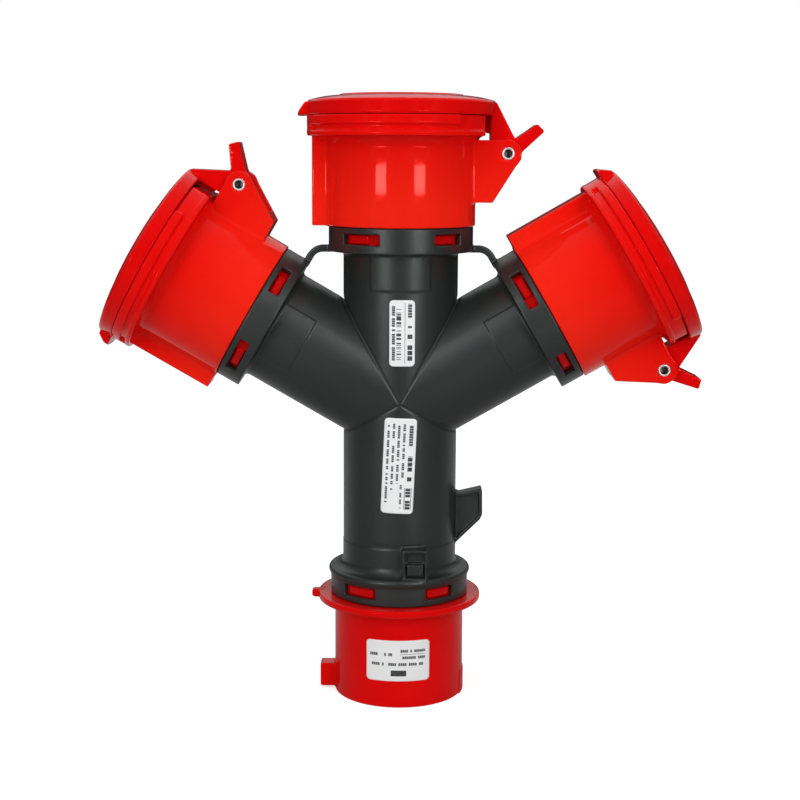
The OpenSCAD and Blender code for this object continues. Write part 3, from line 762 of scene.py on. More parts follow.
class Material(Shader):
    def __init__(self, name):
        self.material = bpy.data.materials.new(name)
        self.material.use_nodes = True
        super().__init__(self.material.node_tree)
        self.shader = next(n for n in self.tree.nodes if n.type == "BSDF_PRINCIPLED")
        self.inputs = self.shader.inputs
        self.coord = self.new("ShaderNodeTexCoord").outputs["Object"]

    def surface(self, color, rough, normal):
        self.link(color, self.inputs["Base Color"])
        self.link(rough, self.inputs["Roughness"])
        self.link(normal, self.inputs["Normal"])

    def axes(self):
        """The X, Y and Z of the object coordinates."""
        node = self.new("ShaderNodeSeparateXYZ")
        self.link(self.coord, node.inputs[0])
        return node.outputs

    def scaled(self, factors):
        node = self.new("ShaderNodeVectorMath", operation="MULTIPLY")
        self.link(self.coord, node.inputs[0])
        node.inputs[1].default_value = factors
        return node.outputs[0]

    def noise(self, scale, detail=2.0, rough=0.5, vector=None):
        node = self.new("ShaderNodeTexNoise")
        node.inputs["Scale"].default_value = scale
        node.inputs["Detail"].default_value = detail
        node.inputs["Roughness"].default_value = rough
        self.link(vector or self.coord, node.inputs["Vector"])
        return node.outputs["Fac"]

    def remap(self, value, start=0.3, end=0.7, low=0.0, high=1.0):
        """start..end to low..high; the default start and end suit a noise."""
        node = self.new("ShaderNodeMapRange")
        node.inputs["From Min"].default_value = start
        node.inputs["From Max"].default_value = end
        node.inputs["To Min"].default_value = low
        node.inputs["To Max"].default_value = high
        self.link(value, node.inputs["Value"])
        return node.outputs[0]

    def mix(self, share, first, second):
        node = self.new("ShaderNodeMix", data_type="RGBA")
        self.put(node.inputs[0], share)
        self.put(node.inputs[6], first)
        self.put(node.inputs[7], second)
        return node.outputs[2]

    def bump(self, height, distance):
        node = self.new("ShaderNodeBump")
        node.inputs["Strength"].default_value = 1.0
        node.inputs["Distance"].default_value = distance
        self.link(height, node.inputs["Height"])
        return node.outputs[0]

    def edges(self, radius, gain=6.0):
        """0 on flats, rising toward 1 on edges."""
        bevel = self.new("ShaderNodeBevel", samples=4)
        bevel.inputs["Radius"].default_value = radius
        geometry = self.new("ShaderNodeNewGeometry")
        dot = self.new("ShaderNodeVectorMath", operation="DOT_PRODUCT")
        self.link(bevel.outputs[0], dot.inputs[0])
        self.link(geometry.outputs["Normal"], dot.inputs[1])
        return self.times(self.minus(1.0, dot.outputs["Value"]), gain, clamp=True)


def rgb(red, green, blue):
    """sRGB 0-255 to linear."""
    def linear(value):
        return value / 255 / 12.92 if value <= 10 else ((value / 255 + 0.055) / 1.055) ** 2.4
    return (linear(red), linear(green), linear(blue), 1.0)


def plastic_red(name, barrel_painted_light=None, lug_painted_shade=None):
    """The first option, (start z, end z, colour), paints one end brighter as painted light; the
    second, (start z, end z), paints the lugs darker as painted shade.
    """
    mat = Material(name)
    broad = mat.noise(scale=22, detail=3, rough=0.55)
    middle = mat.noise(scale=260)
    fine = mat.noise(scale=2600, detail=3, rough=0.6)
    patches = mat.remap(mat.noise(scale=700, detail=3), start=0.4, end=0.7)
    wear = mat.times(mat.edges(radius=0.0006), patches, clamp=True)
    color = mat.mix(mat.remap(broad), rgb(229, 8, 9), rgb(238, 13, 12))
    # painted light: the socket is the same red plastic as the lid and plug, painted a lighter red
    if name == "red_gloss_plastic_socket":
        color = mat.mix(mat.remap(broad), rgb(238, 12, 11), rgb(244, 17, 13))
    # painted light: the barrel is painted brighter toward its inner end
    if barrel_painted_light:
        start, end, painted_light_color = barrel_painted_light
        color = mat.mix(mat.remap(mat.axes()[2], start, end), color, painted_light_color)
    # painted shade: the lugs, shaded inside the collar windows, are painted darker
    if lug_painted_shade:
        color = mat.mix(mat.remap(mat.axes()[2], *lug_painted_shade), color, rgb(205, 9, 10))
    color = mat.mix(mat.times(wear, 0.12), color, rgb(244, 74, 58))
    rough = mat.add(mat.remap(middle, low=0.022, high=0.040),
                    mat.remap(fine, start=0.35, end=0.75, high=0.012))
    rough = mat.add(rough, mat.times(wear, 0.10))
    height = mat.add(mat.times(middle, 0.7), mat.times(fine, 0.12))
    mat.surface(color, rough, mat.bump(height, distance=0.0000018))
    mat.inputs["IOR"].default_value = 1.5
    mat.inputs["Specular Tint"].default_value = (1.0, 0.12, 0.10, 1.0)
    return mat.material


def crease_painted_shade(mat):
    """1 in the parting creases, on the front and the back, where they are painted dark as painted
    shade.
    """
    x, _, z = mat.axes()
    height = mat.minus(z, CROSS / 1000.0)
    shade_line = None
    for degrees, _, length in CREASES:
        length = length / 1000
        cos, sin = math.cos(math.radians(degrees)), math.sin(math.radians(degrees))
        along = mat.add(mat.times(x, sin), mat.times(height, cos))
        across = mat.math("ABSOLUTE", mat.minus(mat.times(x, cos), mat.times(height, sin)))
        ends = mat.times(mat.remap(along, start=-0.0004, end=0.0008),
                         mat.remap(along, start=length, end=length * 0.5))
        line = mat.times(mat.remap(across, start=0.00045, end=0.00015), ends)
        shade_line = line if shade_line is None else mat.math("MAXIMUM", shade_line, line)
    return shade_line


def plastic_body():
    mat = Material("satin_body_plastic")
    broad = mat.noise(scale=18, detail=3, rough=0.6)
    texture = mat.noise(scale=2300, detail=4, rough=0.62)
    grain = mat.noise(scale=900, detail=3, rough=0.6)
    patches = mat.remap(mat.noise(scale=500, detail=3), start=0.38, end=0.7)
    wear = mat.times(mat.edges(radius=0.0007), patches, clamp=True)
    color = mat.mix(mat.remap(broad), rgb(36, 40, 39), rgb(41, 45, 44))
    color = mat.mix(mat.times(wear, 0.5), color, rgb(112, 115, 115))
    # painted shade: the parting creases painted near black
    color = mat.mix(mat.times(crease_painted_shade(mat), 0.6), color, rgb(14, 15, 15))
    rough = mat.add(mat.remap(grain, low=0.29, high=0.37), mat.remap(broad, high=0.05))
    rough = mat.add(rough, mat.times(wear, 0.08))
    height = mat.add(mat.times(texture, 0.6), mat.times(grain, 0.5))
    mat.surface(color, rough, mat.bump(height, distance=0.00004))
    return mat.material


def plain(name, base, other, rough, bump, metal=0.0, scale=400.0, stretch=None, wear=0.25,
          worn=(0.9, 0.9, 0.9, 1), hollow_painted_shade=None):
    """Mottled plastic, metal or rubber. Last option: (start, full) distances along Y in a bore,
    over which the bore is painted darker as painted shade.
    """
    mat = Material(name)
    vector = mat.scaled(stretch) if stretch else None
    coarse = mat.noise(scale=scale, detail=3, rough=0.6, vector=vector)
    fine = mat.noise(scale=scale * 6, detail=3, rough=0.6, vector=vector)
    color = mat.mix(mat.remap(coarse), base, other)
    edge = mat.times(mat.edges(radius=0.0004), mat.remap(fine, start=0.35, end=0.65), clamp=True)
    color = mat.mix(mat.times(edge, wear), color, worn)
    # painted shade: darker deeper in the bore
    if hollow_painted_shade:
        depth = mat.remap(mat.math("ABSOLUTE", mat.axes()[1]), *hollow_painted_shade)
        color = mat.mix(depth, color, (0.11, 0.092, 0.085, 1))
    roughness = mat.add(mat.remap(fine, low=rough - 0.05, high=rough + 0.07),
                        mat.times(edge, 0.05))
    height = mat.add(coarse, mat.times(fine, 0.4))
    mat.surface(color, roughness, mat.bump(height, distance=bump))
    mat.inputs["Metallic"].default_value = metal
    return mat.material


def wire_material(name, base, other, stripe=None):
    mat = Material(name)
    mottle = mat.noise(scale=500, detail=3)
    color = mat.mix(mat.remap(mottle), base, other)
    if stripe:
        waves = mat.noise(scale=90, detail=1, rough=0.4, vector=mat.scaled((1, 1, 0.25)))
        color = mat.mix(mat.remap(waves, start=0.47, end=0.53), color, stripe)
    rough = mat.remap(mat.noise(scale=1800), low=0.34, high=0.46)
    mat.surface(color, rough, mat.bump(mottle, distance=0.00003))
    return mat.material


def label_material(name, rows, bars, centre, tilt, upright):
    """White film with generic print. rows and bars are in millimetres on the label, as in
    LABELS. On an upright label the reading direction is -Z and the rows step toward -X."""
    mat = Material(name)
    object_x, _, object_z = mat.axes()
    from_x = mat.minus(mat.times(object_x, 1000.0), centre[0])
    from_z = mat.minus(mat.times(object_z, 1000.0), centre[1])
    cos, sin = math.cos(math.radians(tilt)), math.sin(math.radians(tilt))
    label_x = mat.add(mat.times(from_x, cos), mat.times(from_z, sin))
    label_z = mat.minus(mat.times(from_z, cos), mat.times(from_x, sin))
    if upright:
        reading, stacking = mat.times(label_z, -1.0), label_x
    else:
        reading, stacking = label_x, label_z

    def near(value, middle, half):
        return mat.math("LESS_THAN", mat.math("ABSOLUTE", mat.minus(value, middle)), half)

    ink = None
    for row, start, end, height, pitch, gap, seed in rows:
        mark = near(stacking, row, height / 2)
        mark = mat.times(mark, near(reading, (start + end) / 2, (end - start) / 2))
        if gap > 0:
            cell = mat.math("DIVIDE", reading, pitch)
            random = mat.new("ShaderNodeTexWhiteNoise", noise_dimensions="1D")
            mat.link(mat.add(mat.math("FLOOR", cell), float(seed)), random.inputs["W"])
            filled = mat.math("GREATER_THAN", random.outputs["Value"], gap)
            mark = mat.times(mark, filled)
            if pitch > 0.45:      # a space between letters, but not in a bar code
                spaced = mat.math("GREATER_THAN", mat.math("FRACT", cell), 0.16)
                mark = mat.times(mark, spaced)
        ink = mark if ink is None else mat.math("MAXIMUM", ink, mark)
    for along, row, width, height in bars:
        mark = mat.times(near(reading, along, width / 2), near(stacking, row, height / 2))
        ink = mat.math("MAXIMUM", ink, mark)
    fading = mat.remap(mat.noise(scale=2500), start=0.25, end=0.5, low=0.82, high=1.0)
    ink = mat.times(ink, fading)
    mottle = mat.remap(mat.noise(scale=120, detail=3))
    paper = mat.mix(mottle, rgb(246, 249, 249), rgb(252, 254, 254))
    mat.surface(mat.mix(ink, paper, rgb(46, 48, 50)),
                mat.remap(mat.noise(scale=900), low=0.36, high=0.46),
                mat.bump(mat.noise(scale=700, detail=3), distance=0.00001))
    return mat.material


RED = plastic_red("red_gloss_plastic")
# The plug's lugs are painted darker, as painted shade.
RED_PLUG = plastic_red("red_gloss_plastic_plug", lug_painted_shade=(0.0508, 0.0514))
# The socket's barrel is painted brighter toward its inner end, as painted light, and its lugs
# darker, as painted shade.
RED_SOCKET = plastic_red("red_gloss_plastic_socket", barrel_painted_light=(0.130, 0.092, rgb(255, 38, 22)),
                         lug_painted_shade=(0.0838, 0.0832))
BODY = plastic_body()
CARRIER = plain("carrier_plastic", rgb(34, 35, 36), rgb(40, 41, 42), rough=0.42,
                scale=300, bump=0.00002, wear=0.3, worn=rgb(90, 92, 93))
NICKEL = plain("nickel_plate", (0.70, 0.70, 0.69, 1), (0.62, 0.62, 0.61, 1), rough=0.22,
               metal=1.0, scale=900, bump=0.000006, stretch=(1, 1, 6), worn=(0.9, 0.9, 0.88, 1))
# The rivet's hollow is painted darker inside, as painted shade.
RIVET = plain("rivet_steel", (0.86, 0.86, 0.86, 1), (0.74, 0.74, 0.75, 1), rough=0.36,
              metal=0.75, scale=1500, bump=0.000008, worn=(0.98, 0.98, 0.98, 1),
              hollow_painted_shade=(0.0123, 0.0114))
ZINC = plain("zinc_steel", (0.66, 0.67, 0.68, 1), (0.52, 0.53, 0.55, 1), rough=0.27,
             metal=1.0, scale=1500, bump=0.000008, worn=(0.92, 0.92, 0.92, 1))
SPRING = plain("spring_steel", (0.50, 0.51, 0.53, 1), (0.40, 0.41, 0.43, 1), rough=0.3,
               metal=1.0, scale=1800, bump=0.000008)
BRASS = plain("contact_brass", (0.78, 0.56, 0.24, 1), (0.66, 0.46, 0.18, 1), rough=0.26,
              metal=1.0, scale=900, bump=0.000008, stretch=(1, 1, 6), worn=(0.95, 0.8, 0.5, 1))
RUBBER = plain("seal_rubber", rgb(22, 22, 23), rgb(29, 29, 30), rough=0.62,
               scale=500, bump=0.00004, wear=0.15, worn=rgb(70, 70, 70))
# Wire colours: the two tones of the mottle, and a stripe
WIRES = {
    "wire_brown": (rgb(92, 50, 28), rgb(104, 58, 32)),
    "wire_black": (rgb(24, 24, 25), rgb(30, 30, 31)),
    "wire_grey": (rgb(120, 122, 124), rgb(132, 134, 136)),
    "wire_blue": (rgb(22, 62, 158), rgb(28, 72, 172)),
    "wire_green_yellow": (rgb(22, 112, 40), rgb(28, 124, 46), rgb(224, 198, 22)),
}
SLOT_MATERIALS = {
    "red_plastic": RED, "body_plastic": BODY, "carrier_plastic": CARRIER, "pin_metal": NICKEL,
    "contact_brass": BRASS, "screw_steel": ZINC, "spring_steel": SPRING, "rubber": RUBBER}
for wire, colors in WIRES.items():
    SLOT_MATERIALS[wire] = wire_material(wire, *colors)


# --------------------------------------------------------------------------
# Carried-over CAD nodes: their material, and a small true bevel on their edges
# --------------------------------------------------------------------------
def dress_cad_nodes():
    slots = {part["node"]: part["material_slot"] for part in frame["record"]["subparts"]}
    for name, obj in frame["nodes"].items():
        if slots[name] in SLOT_MATERIALS:
            obj.data.materials.clear()
            obj.data.materials.append(SLOT_MATERIALS[slots[name]])
        if not name.startswith(("wires_", "lid_spring_")):
            bevel = obj.modifiers.new("edge", "BEVEL")
            bevel.limit_method = "ANGLE"
            bevel.angle_limit = math.radians(40)
            bevel.width = 0.00018
            bevel.segments = 2


dress_cad_nodes()


# --------------------------------------------------------------------------
# Mesh and object helpers
# --------------------------------------------------------------------------
def add_object(name, data):
    obj = bpy.data.objects.new(name, data)
    bpy.context.scene.collection.objects.link(obj)
    return obj


def place(name, mesh, material, matrix, body, replaces):
    obj = add_object(name, mesh)
    if not mesh.materials:
        mesh.materials.append(material)
    obj.matrix_world = matrix
    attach(obj, body)
    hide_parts(replaces)


def to_mesh(bm, name):
    mesh = bpy.data.meshes.new(name)
    bm.to_mesh(mesh)
    bm.free()
    return mesh


def bridge(bm, ring, following):
    """Quads between two closed rings."""
    for i in range(len(ring)):
        j = (i + 1) % len(ring)
        bm.faces.new((ring[i], ring[j], following[j], following[i]))


def sheet(width, depth, cells):
    """A flat square-celled sheet, centred on the origin."""
    bm = bmesh.new()
    rows = [[bm.verts.new((width * (i / cells - 0.5), depth * (j / cells - 0.5), 0))
             for j in range(cells + 1)] for i in range(cells + 1)]
    for i in range(cells):
        for j in range(cells):
            bm.faces.new((rows[i][j], rows[i + 1][j], rows[i + 1][j + 1], rows[i][j + 1]))
    return bm


# --------------------------------------------------------------------------
# Mouldings
# --------------------------------------------------------------------------
lid_shell, socket_shell, plug_shell, body_shell = (
    lid_mesh(), socket_mesh(), plug_mesh(), body_mesh())
place("body_moulding", body_shell, BODY, Matrix.Identity(4),
      "housing", "body_housing")
place("plug_moulding", plug_shell, RED_PLUG, Matrix.Identity(4),
      "housing", "plug_housing")
for side, degrees in ARM_ANGLES.items():
    place(f"socket_moulding_{side}", socket_shell, RED_SOCKET, arm_matrix(degrees),
          "housing", f"socket_housing_{side}")
    place(f"lid_moulding_{side}", lid_shell, RED, arm_matrix(degrees),
          f"lid_{side}", f"lid_{side}")

# --------------------------------------------------------------------------
# Wound spring wire between the barrel and the lid
# --------------------------------------------------------------------------
COIL_RADIUS, COIL_HALF_LENGTH, COIL_TURNS, STEPS_PER_TURN = 3.75, 3.3, 5.25, 28
WIRE_RADIUS, WIRE_SIDES = 0.5, 12
SPRING_LEG = (36.6, 40, 44, 48)       # x of the straight leg toward the barrel
SPRING_TAIL = (1.6, 3.0, 4.4)         # rise of the short leg toward the lid


def spring_mesh():
    half = COIL_HALF_LENGTH
    path = [(x, -half, HINGE_Z - COIL_RADIUS) for x in SPRING_LEG]
    steps = int(STEPS_PER_TURN * COIL_TURNS)
    for i in range(steps + 1):
        angle = math.radians(270 + 360 * i / STEPS_PER_TURN)
        path.append((HINGE_X + COIL_RADIUS * math.cos(angle), -half + 2 * half * i / steps,
                     HINGE_Z + COIL_RADIUS * math.sin(angle)))
    path += [(HINGE_X + COIL_RADIUS, half, HINGE_Z + rise) for rise in SPRING_TAIL]
    path = np.array(path)
    tangents = np.gradient(path, axis=0)
    tangents /= np.linalg.norm(tangents, axis=1, keepdims=True)
    sides = np.cross(tangents, np.array([0, 1.0, 0.02]))
    sides /= np.linalg.norm(sides, axis=1, keepdims=True)
    uppers = np.cross(sides, tangents)
    bm = bmesh.new()
    rings = []
    for point, side_way, upper in zip(path, sides, uppers):
        ring = []
        for j in range(WIRE_SIDES):
            angle = 2 * math.pi * j / WIRE_SIDES
            offset = math.cos(angle) * side_way + math.sin(angle) * upper
            ring.append(bm.verts.new((point + WIRE_RADIUS * offset) / 1000.0))
        rings.append(ring)
    for ring, following in zip(rings[:-1], rings[1:]):
        for i in range(WIRE_SIDES):
            j = (i + 1) % WIRE_SIDES
            bm.faces.new((ring[i], following[i], following[j], ring[j]))
    bm.faces.new(rings[0])
    bm.faces.new(rings[-1][::-1])
    bmesh.ops.recalc_face_normals(bm, faces=bm.faces)
    for face in bm.faces:
        face.smooth = len(face.verts) == 4
    return to_mesh(bm, "spring_wire")


spring_wire = spring_mesh()
for side, degrees in ARM_ANGLES.items():
    mesh = spring_wire.copy()
    mesh.transform(arm_matrix(degrees))
    mesh.materials.append(SPRING)
    spring = add_object(f"lid_spring_wire_{side}", mesh)
    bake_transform(spring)
    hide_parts(f"lid_spring_{side}")

# --------------------------------------------------------------------------
# Hinge pins as hollow rivets, with a rolled lip at each end
# --------------------------------------------------------------------------
RIVET_SIDES = 56
# (radius, distance from the middle): the hollow, out to the lip
RIVET_HOLLOW = [(0.0, 8.2), (1.45, 8.2), (1.75, 8.35), (1.88, 8.7), (1.9, 12.1)]
RIVET_SHANK = [(3.0, 12.47), (2.79, 12.47)]


def rivet_mesh():
    lip = []
    for degrees in range(0, 181, 18):
        angle = math.radians(degrees)
        lip.append((2.46 - 0.56 * math.cos(angle), 12.4 + 0.52 * math.sin(angle)))
    half = RIVET_HOLLOW + lip + RIVET_SHANK
    profile = half + [(radius, -y) for radius, y in reversed(half)]
    bm = bmesh.new()
    rings = []
    for radius, y in profile:
        ring = []
        for j in range(RIVET_SIDES if radius else 1):
            angle = 2 * math.pi * j / RIVET_SIDES
            ring.append(bm.verts.new(((HINGE_X + radius * math.cos(angle)) / 1000, y / 1000,
                                      (HINGE_Z + radius * math.sin(angle)) / 1000)))
        rings.append(ring)
    for ring, following in zip(rings[:-1], rings[1:]):
        if len(ring) == len(following):
            bridge(bm, ring, following)
            continue
        for i in range(RIVET_SIDES):
            j = (i + 1) % RIVET_SIDES
            if len(ring) == 1:
                bm.faces.new((ring[0], following[j], following[i]))
            else:
                bm.faces.new((ring[i], ring[j], following[0]))
    bmesh.ops.recalc_face_normals(bm, faces=bm.faces)
    for face in bm.faces:
        face.smooth = True
    for edge in bm.edges:
        if len(edge.link_faces) == 2 and edge.calc_face_angle(0) > math.radians(50):
            edge.smooth = False
    return to_mesh(bm, "hinge_rivet")


hinge_rivet = rivet_mesh()
for side, degrees in ARM_ANGLES.items():
    place(f"hinge_rivet_{side}", hinge_rivet, RIVET, arm_matrix(degrees),
          "housing", f"hinge_pin_{side}")

# --------------------------------------------------------------------------
# Film labels, wrapped on the round front, with rounded corners and a soft edge
# --------------------------------------------------------------------------
FILM_CORNER, FILM_THICK, FILM_ROUND, FILM_GAP = 1.9, 0.16, 0.05, 0.02
CORNER_STEPS, INWARD_STEPS = 10, 12
# size: (width, height). centre: (x, z) of the film, with print_x the x of its print.
# rows: (row, start, end, height, letter pitch, share of blanks, seed)
# bars: (middle along the row, row, length, height)
LABELS = [
    dict(name="label_film_top", object="label_film_top_arm", node="label_top_arm",
         radius=ARM_RADIUS, size=(12.0, 31.4), centre=(1.0, CROSS + 34.1), print_x=1.0,
         tilt=0.0, upright=True,
         rows=[(3.7, -14.0, -1.0, 1.9, 1.25, 0.22, 3), (3.7, 0.5, 13.5, 2.3, 2.6, 0.30, 11),
               (-1.6, -11.5, 13.0, 2.2, 0.34, 0.45, 29), (-4.1, -13.0, 13.0, 1.5, 1.05, 0.18, 41)],
         bars=[(0.0, 1.35, 29.0, 0.22)]),
    dict(name="label_film_stem", object="label_film_stem", node="label_stem",
         radius=ARM_RADIUS, size=(15.4, 46.4), centre=(-0.25, 119.3), print_x=-0.25,
         tilt=-2.4, upright=True,
         rows=[(5.3, -20.5, -6.5, 1.9, 1.25, 0.2, 5), (5.3, -5.0, 9.0, 2.2, 2.4, 0.35, 17),
               (4.9, 10.5, 21.0, 2.4, 1.5, 0.16, 23), (2.0, -20.5, 5.5, 1.15, 0.9, 0.25, 31),
               (1.4, 9.0, 20.5, 1.0, 0.8, 0.3, 37), (-0.6, -20.5, 8.5, 1.15, 0.9, 0.22, 43),
               (-3.1, -20.5, 12.5, 1.1, 0.9, 0.25, 53), (-5.6, -20.5, 18.0, 1.1, 0.9, 0.2, 61)],
         bars=[(15.7, 3.3, 10.5, 0.28), (15.7, 6.5, 10.5, 0.28)]),
    dict(name="label_film_plug", object="label_film_plug", node="label_plug",
         radius=PLUG_RADIUS, size=(30.4, 20.4), centre=(-0.15, 23.8), print_x=0.0,
         tilt=0.0, upright=False,
         rows=[(3.2, -13.6, -2.8, 1.5, 1.0, 0.2, 7), (5.0, 1.0, 13.0, 1.35, 0.95, 0.2, 13),
               (1.7, 1.0, 13.0, 1.35, 0.95, 0.2, 19), (-1.7, -13.8, 12.2, 1.4, 1.0, 0.2, 47),
               (-6.2, -3.6, 3.9, 2.9, 3.4, 0.0, 0)],
         bars=[(7.0, 3.35, 11.8, 0.22)]),
]


def film_outline(width, height, shrink):
    """A rounded rectangle, its sides split so that they bend with the wall."""
    corners = []
    for side_x, side_z, first in ((1, 1, 0), (-1, 1, 90), (-1, -1, 180), (1, -1, 270)):
        for i in range(CORNER_STEPS + 1):
            angle = math.radians(first + 90 * i / CORNER_STEPS)
            corners.append((
                side_x * (width / 2 - FILM_CORNER) + (FILM_CORNER - shrink) * math.cos(angle),
                side_z * (height / 2 - FILM_CORNER) + (FILM_CORNER - shrink) * math.sin(angle)))
    points = []
    for i, (x, z) in enumerate(corners):
        end_x, end_z = corners[(i + 1) % len(corners)]
        pieces = max(1, int(math.dist((x, z), (end_x, end_z))))
        points += [(x + (end_x - x) * j / pieces, z + (end_z - z) * j / pieces)
                   for j in range(pieces)]
    return points


def label_mesh(name, wall_radius, size, centre, tilt):
    width, height = size
    cos, sin = math.cos(math.radians(tilt)), math.sin(math.radians(tilt))
    half_core = max(height, width) / 2 - min(height, width) / 2
    bm = bmesh.new()

    def vertex(point, lift):
        """A label point, lifted off the wall."""
        x = centre[0] + point[0] * cos - point[1] * sin
        z = centre[1] + point[0] * sin + point[1] * cos
        angle = math.asin(max(-1, min(1, x / wall_radius)))
        radius = wall_radius + lift
        return bm.verts.new((radius * math.sin(angle) / 1000, -radius * math.cos(angle) / 1000,
                             z / 1000))

    def core(point):
        """The nearest point of the label's middle line."""
        if height >= width:
            return 0.0, max(-half_core, min(half_core, point[1]))
        return max(-half_core, min(half_core, point[0])), 0.0

    levels = [(0.0, FILM_GAP), (0.0, FILM_THICK - FILM_ROUND), (FILM_ROUND, FILM_THICK)]
    outlines = [film_outline(width, height, shrink) for shrink, _ in levels]
    rings = [[vertex(point, lift) for point in outline]
             for outline, (_, lift) in zip(outlines, levels)]
    for ring, following in zip(rings[:-1], rings[1:]):
        bridge(bm, ring, following)
    # rows shrinking toward the middle line, so that top and underside follow the curve
    for level in (-1, 0):
        ring = rings[level]
        for step in range(1, INWARD_STEPS + 1):
            share = 1 - step / INWARD_STEPS
            following = []
            for point in outlines[level]:
                x, z = core(point)
                inner = (x + (point[0] - x) * share, z + (point[1] - z) * share)
                following.append(vertex(inner, levels[level][1]))
            bridge(bm, ring, following)
            ring = following
    bmesh.ops.remove_doubles(bm, verts=bm.verts, dist=1e-6)
    bmesh.ops.dissolve_degenerate(bm, edges=bm.edges, dist=1e-7)
    bmesh.ops.recalc_face_normals(bm, faces=bm.faces)
    for face in bm.faces:
        face.smooth = True
    return to_mesh(bm, name)


for label in LABELS:
    centre, tilt = label["centre"], label["tilt"]
    film = label_material(label["name"], label["rows"], label["bars"],
                          (label["print_x"], centre[1]), tilt, label["upright"])
    mesh = label_mesh(label["object"], label["radius"], label["size"], centre, tilt)
    place(label["object"], mesh, film, Matrix.Identity(4), "housing", label["node"])


# --------------------------------------------------------------------------
# Floor
# --------------------------------------------------------------------------
def floor_material():
    """White to the camera, greyer to diffuse and glossy rays, and dark to far reflections."""
    mat = Material("floor_white")
    rays = mat.new("ShaderNodeLightPath").outputs
    length = mat.new("ShaderNodeVectorMath", operation="LENGTH")
    mat.link(mat.coord, length.inputs[0])
    reach = length.outputs["Value"]
    far = mat.times(rays["Is Glossy Ray"], mat.remap(reach, start=0.5, end=1.3))
    behind = mat.times(mat.remap(mat.axes()[1], start=0.02, end=0.28),
                       mat.remap(reach, start=1.6, end=0.8))
    color = mat.mix(mat.noise(scale=3), (0.90, 0.90, 0.90, 1), (0.94, 0.94, 0.94, 1))
    color = mat.mix(rays["Is Diffuse Ray"], color, (0.55, 0.55, 0.55, 1))
    color = mat.mix(rays["Is Glossy Ray"], color, (0.42, 0.42, 0.42, 1))
    color = mat.mix(far, color, (0.03, 0.03, 0.03, 1))
    mat.link(color, mat.inputs["Base Color"])
    mat.inputs["Roughness"].default_value = 0.9
    mat.inputs["Specular IOR Level"].default_value = 0.0
    mat.inputs["Emission Color"].default_value = (1, 1, 1, 1)
    shine = mat.times(mat.times(rays["Is Glossy Ray"], behind), 0.36)
    glow = mat.add(mat.times(rays["Is Camera Ray"], 0.66), shine)
    mat.link(glow, mat.inputs["Emission Strength"])
    return mat.material


def stage_floor():
    bm = sheet(24.0, 24.0, cells=24)
    bmesh.ops.recalc_face_normals(bm, faces=bm.faces)
    floor = add_object("studio_floor", to_mesh(bm, "studio_floor"))
    floor.data.materials.append(floor_material())
    floor.location.z = cad_low.z - 0.0002


stage_floor()


# --------------------------------------------------------------------------
# Lights
# --------------------------------------------------------------------------
def aim(obj, location, target):
    obj.location = location
    obj.rotation_mode = "QUATERNION"
    direction = Vector(target) - Vector(location)
    obj.rotation_quaternion = direction.to_track_quat("-Z", "Y")


def area(name, location, target, size, power, glossy=True, diffuse=True):
    light = bpy.data.lights.new(name, "AREA")
    light.shape = "RECTANGLE"
    light.size, light.size_y = size
    light.energy = power
    obj = add_object(name, light)
    aim(obj, location, target)
    obj.visible_camera = False
    obj.visible_glossy = glossy
    obj.visible_diffuse = diffuse


def glow(name, location, target, size, strength, group):
    """A soft-edged emitter that only reflections on one group of pieces see."""
    mesh = to_mesh(sheet(*size, cells=8), name)
    mat = Material(name)
    off_centre = mat.math("DIVIDE", mat.math("ABSOLUTE", mat.axes()[0]), size[0] / 2)
    soft = mat.minus(1.0, mat.math("POWER", off_centre, 1.6), clamp=True)
    emission = mat.new("ShaderNodeEmission")
    mat.link(mat.times(soft, strength * 1.5), emission.inputs["Strength"])
    output = next(node for node in mat.tree.nodes if node.type == "OUTPUT_MATERIAL")
    mat.link(emission.outputs[0], output.inputs["Surface"])
    mesh.materials.append(mat.material)
    obj = add_object(name, mesh)
    aim(obj, location, target)
    obj.visible_camera = obj.visible_diffuse = False
    obj.visible_shadow = obj.visible_transmission = False
    obj.light_linking.receiver_collection = group


# Each soft emitter lights either the gloss red pieces or all the others
gloss_group = bpy.data.collections.new("gloss_red_pieces")
other_group = bpy.data.collections.new("other_pieces")
for obj in list(bpy.context.scene.objects):
    if obj.type == "MESH" and obj.name != "studio_floor":
        is_red = any(mat in (RED, RED_PLUG, RED_SOCKET) for mat in obj.data.materials)
        (gloss_group if is_red else other_group).objects.link(obj)

LIGHT_DISTANCE, LIGHT_HEIGHT, BAR_HEIGHT = 1.3, 0.75, 0.232
# (name ending, sign of x, angle from the front in degrees)
for ending, sign, degrees in (("l", -1, 30.3), ("r", 1, 28.2)):
    light_x = sign * LIGHT_DISTANCE * math.sin(math.radians(degrees))
    light_y = -LIGHT_DISTANCE * math.cos(math.radians(degrees))

    def spot(scale, z):
        """Location and target of a light, level with each other."""
        return (light_x * scale, light_y * scale, z), (0, 0, z)

    area(f"strip_{ending}", *spot(1, LIGHT_HEIGHT), size=(0.40, 1.3), power=6.5, glossy=False)
    glow(f"glow_{ending}", *spot(1.01, LIGHT_HEIGHT), size=(0.40, 1.3), strength=4.1,
         group=other_group)
    glow(f"sheen_{ending}", *spot(1.02, LIGHT_HEIGHT), size=(0.95, 1.3), strength=0.55,
         group=gloss_group)
    # thin bright bar, seen as a small reflection only
    area(f"bar_{ending}", *spot(0.985, BAR_HEIGHT), size=(0.36, 0.036), power=1.0,
         diffuse=False)
area("overhead", (0, -0.3, 1.6), (0, 0, 0.15), size=(1.6, 1.2), power=4.0, glossy=False)


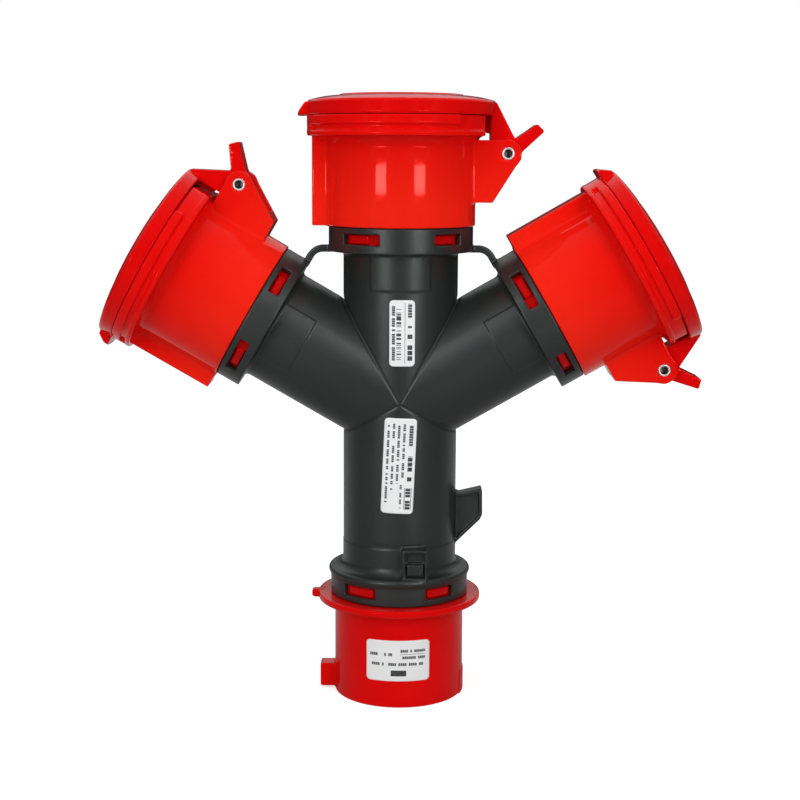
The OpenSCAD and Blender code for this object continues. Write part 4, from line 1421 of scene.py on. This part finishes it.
# --------------------------------------------------------------------------
# World: white to the camera, soft to the diffuse light, and nearly dark to reflections
# except above and behind
# --------------------------------------------------------------------------
def build_world():
    world = bpy.data.worlds.new("studio")
    bpy.context.scene.world = world
    world.use_nodes = True
    sky = Shader(world.node_tree)
    rays = sky.new("ShaderNodeLightPath").outputs
    coord = sky.new("ShaderNodeTexCoord")
    split = sky.new("ShaderNodeSeparateXYZ")
    sky.link(coord.outputs["Generated"], split.inputs[0])
    _, toward_back, height = split.outputs

    def fade_in(value, start, gain):
        raised = sky.math("MAXIMUM", sky.times(sky.minus(value, start), gain), 0.0)
        return sky.math("MINIMUM", raised, 1.0)

    above = sky.math("MAXIMUM", height, 0.0)
    overhead = sky.add(sky.times(above, 0.12), sky.times(sky.times(above, above), 0.6))
    back = sky.times(fade_in(toward_back, start=0.3, gain=2.5),
                     fade_in(height, start=0.19, gain=9.0))
    glossy = sky.add(sky.add(0.03, overhead), sky.times(back, 0.5))
    diffuse = sky.add(0.30, sky.times(above, 0.10))
    strength = sky.add(sky.times(rays["Is Camera Ray"], 1.0),
                       sky.add(sky.times(rays["Is Glossy Ray"], glossy),
                               sky.times(rays["Is Diffuse Ray"], diffuse)))
    background = world.node_tree.nodes["Background"]
    sky.link(strength, background.inputs["Strength"])
    background.inputs["Color"].default_value = (1, 1, 1, 1)


build_world()

# --------------------------------------------------------------------------
# Camera, in front and looking slightly down
# --------------------------------------------------------------------------
CAMERA_PLACE = Vector((0.004877, -0.752705, 0.26829))
CAMERA_DOWN, CAMERA_YAW, CAMERA_ROLL = (math.radians(a) for a in (9.162, -0.372, 0.315))


def build_camera():
    forward = Vector((math.sin(CAMERA_YAW) * math.cos(CAMERA_DOWN),
                      math.cos(CAMERA_YAW) * math.cos(CAMERA_DOWN), -math.sin(CAMERA_DOWN)))
    level = forward.cross(Vector((0, 0, 1))).normalized()
    upright = level.cross(forward)
    right = math.cos(CAMERA_ROLL) * level + math.sin(CAMERA_ROLL) * upright
    up = -math.sin(CAMERA_ROLL) * level + math.cos(CAMERA_ROLL) * upright
    data = bpy.data.cameras.new("camera")
    data.sensor_width = 36.0
    data.lens = 69.667605
    data.clip_start, data.clip_end = 0.01, 50.0
    camera = add_object("camera", data)
    rows = [(right[i], up[i], -forward[i], CAMERA_PLACE[i]) for i in range(3)]
    camera.matrix_world = Matrix((*rows, (0, 0, 0, 1)))
    bpy.context.scene.camera = camera


build_camera()

view = bpy.context.scene.view_settings
view.view_transform = "Standard"
view.look = "None"
view.exposure = 0.0
view.gamma = 1.0
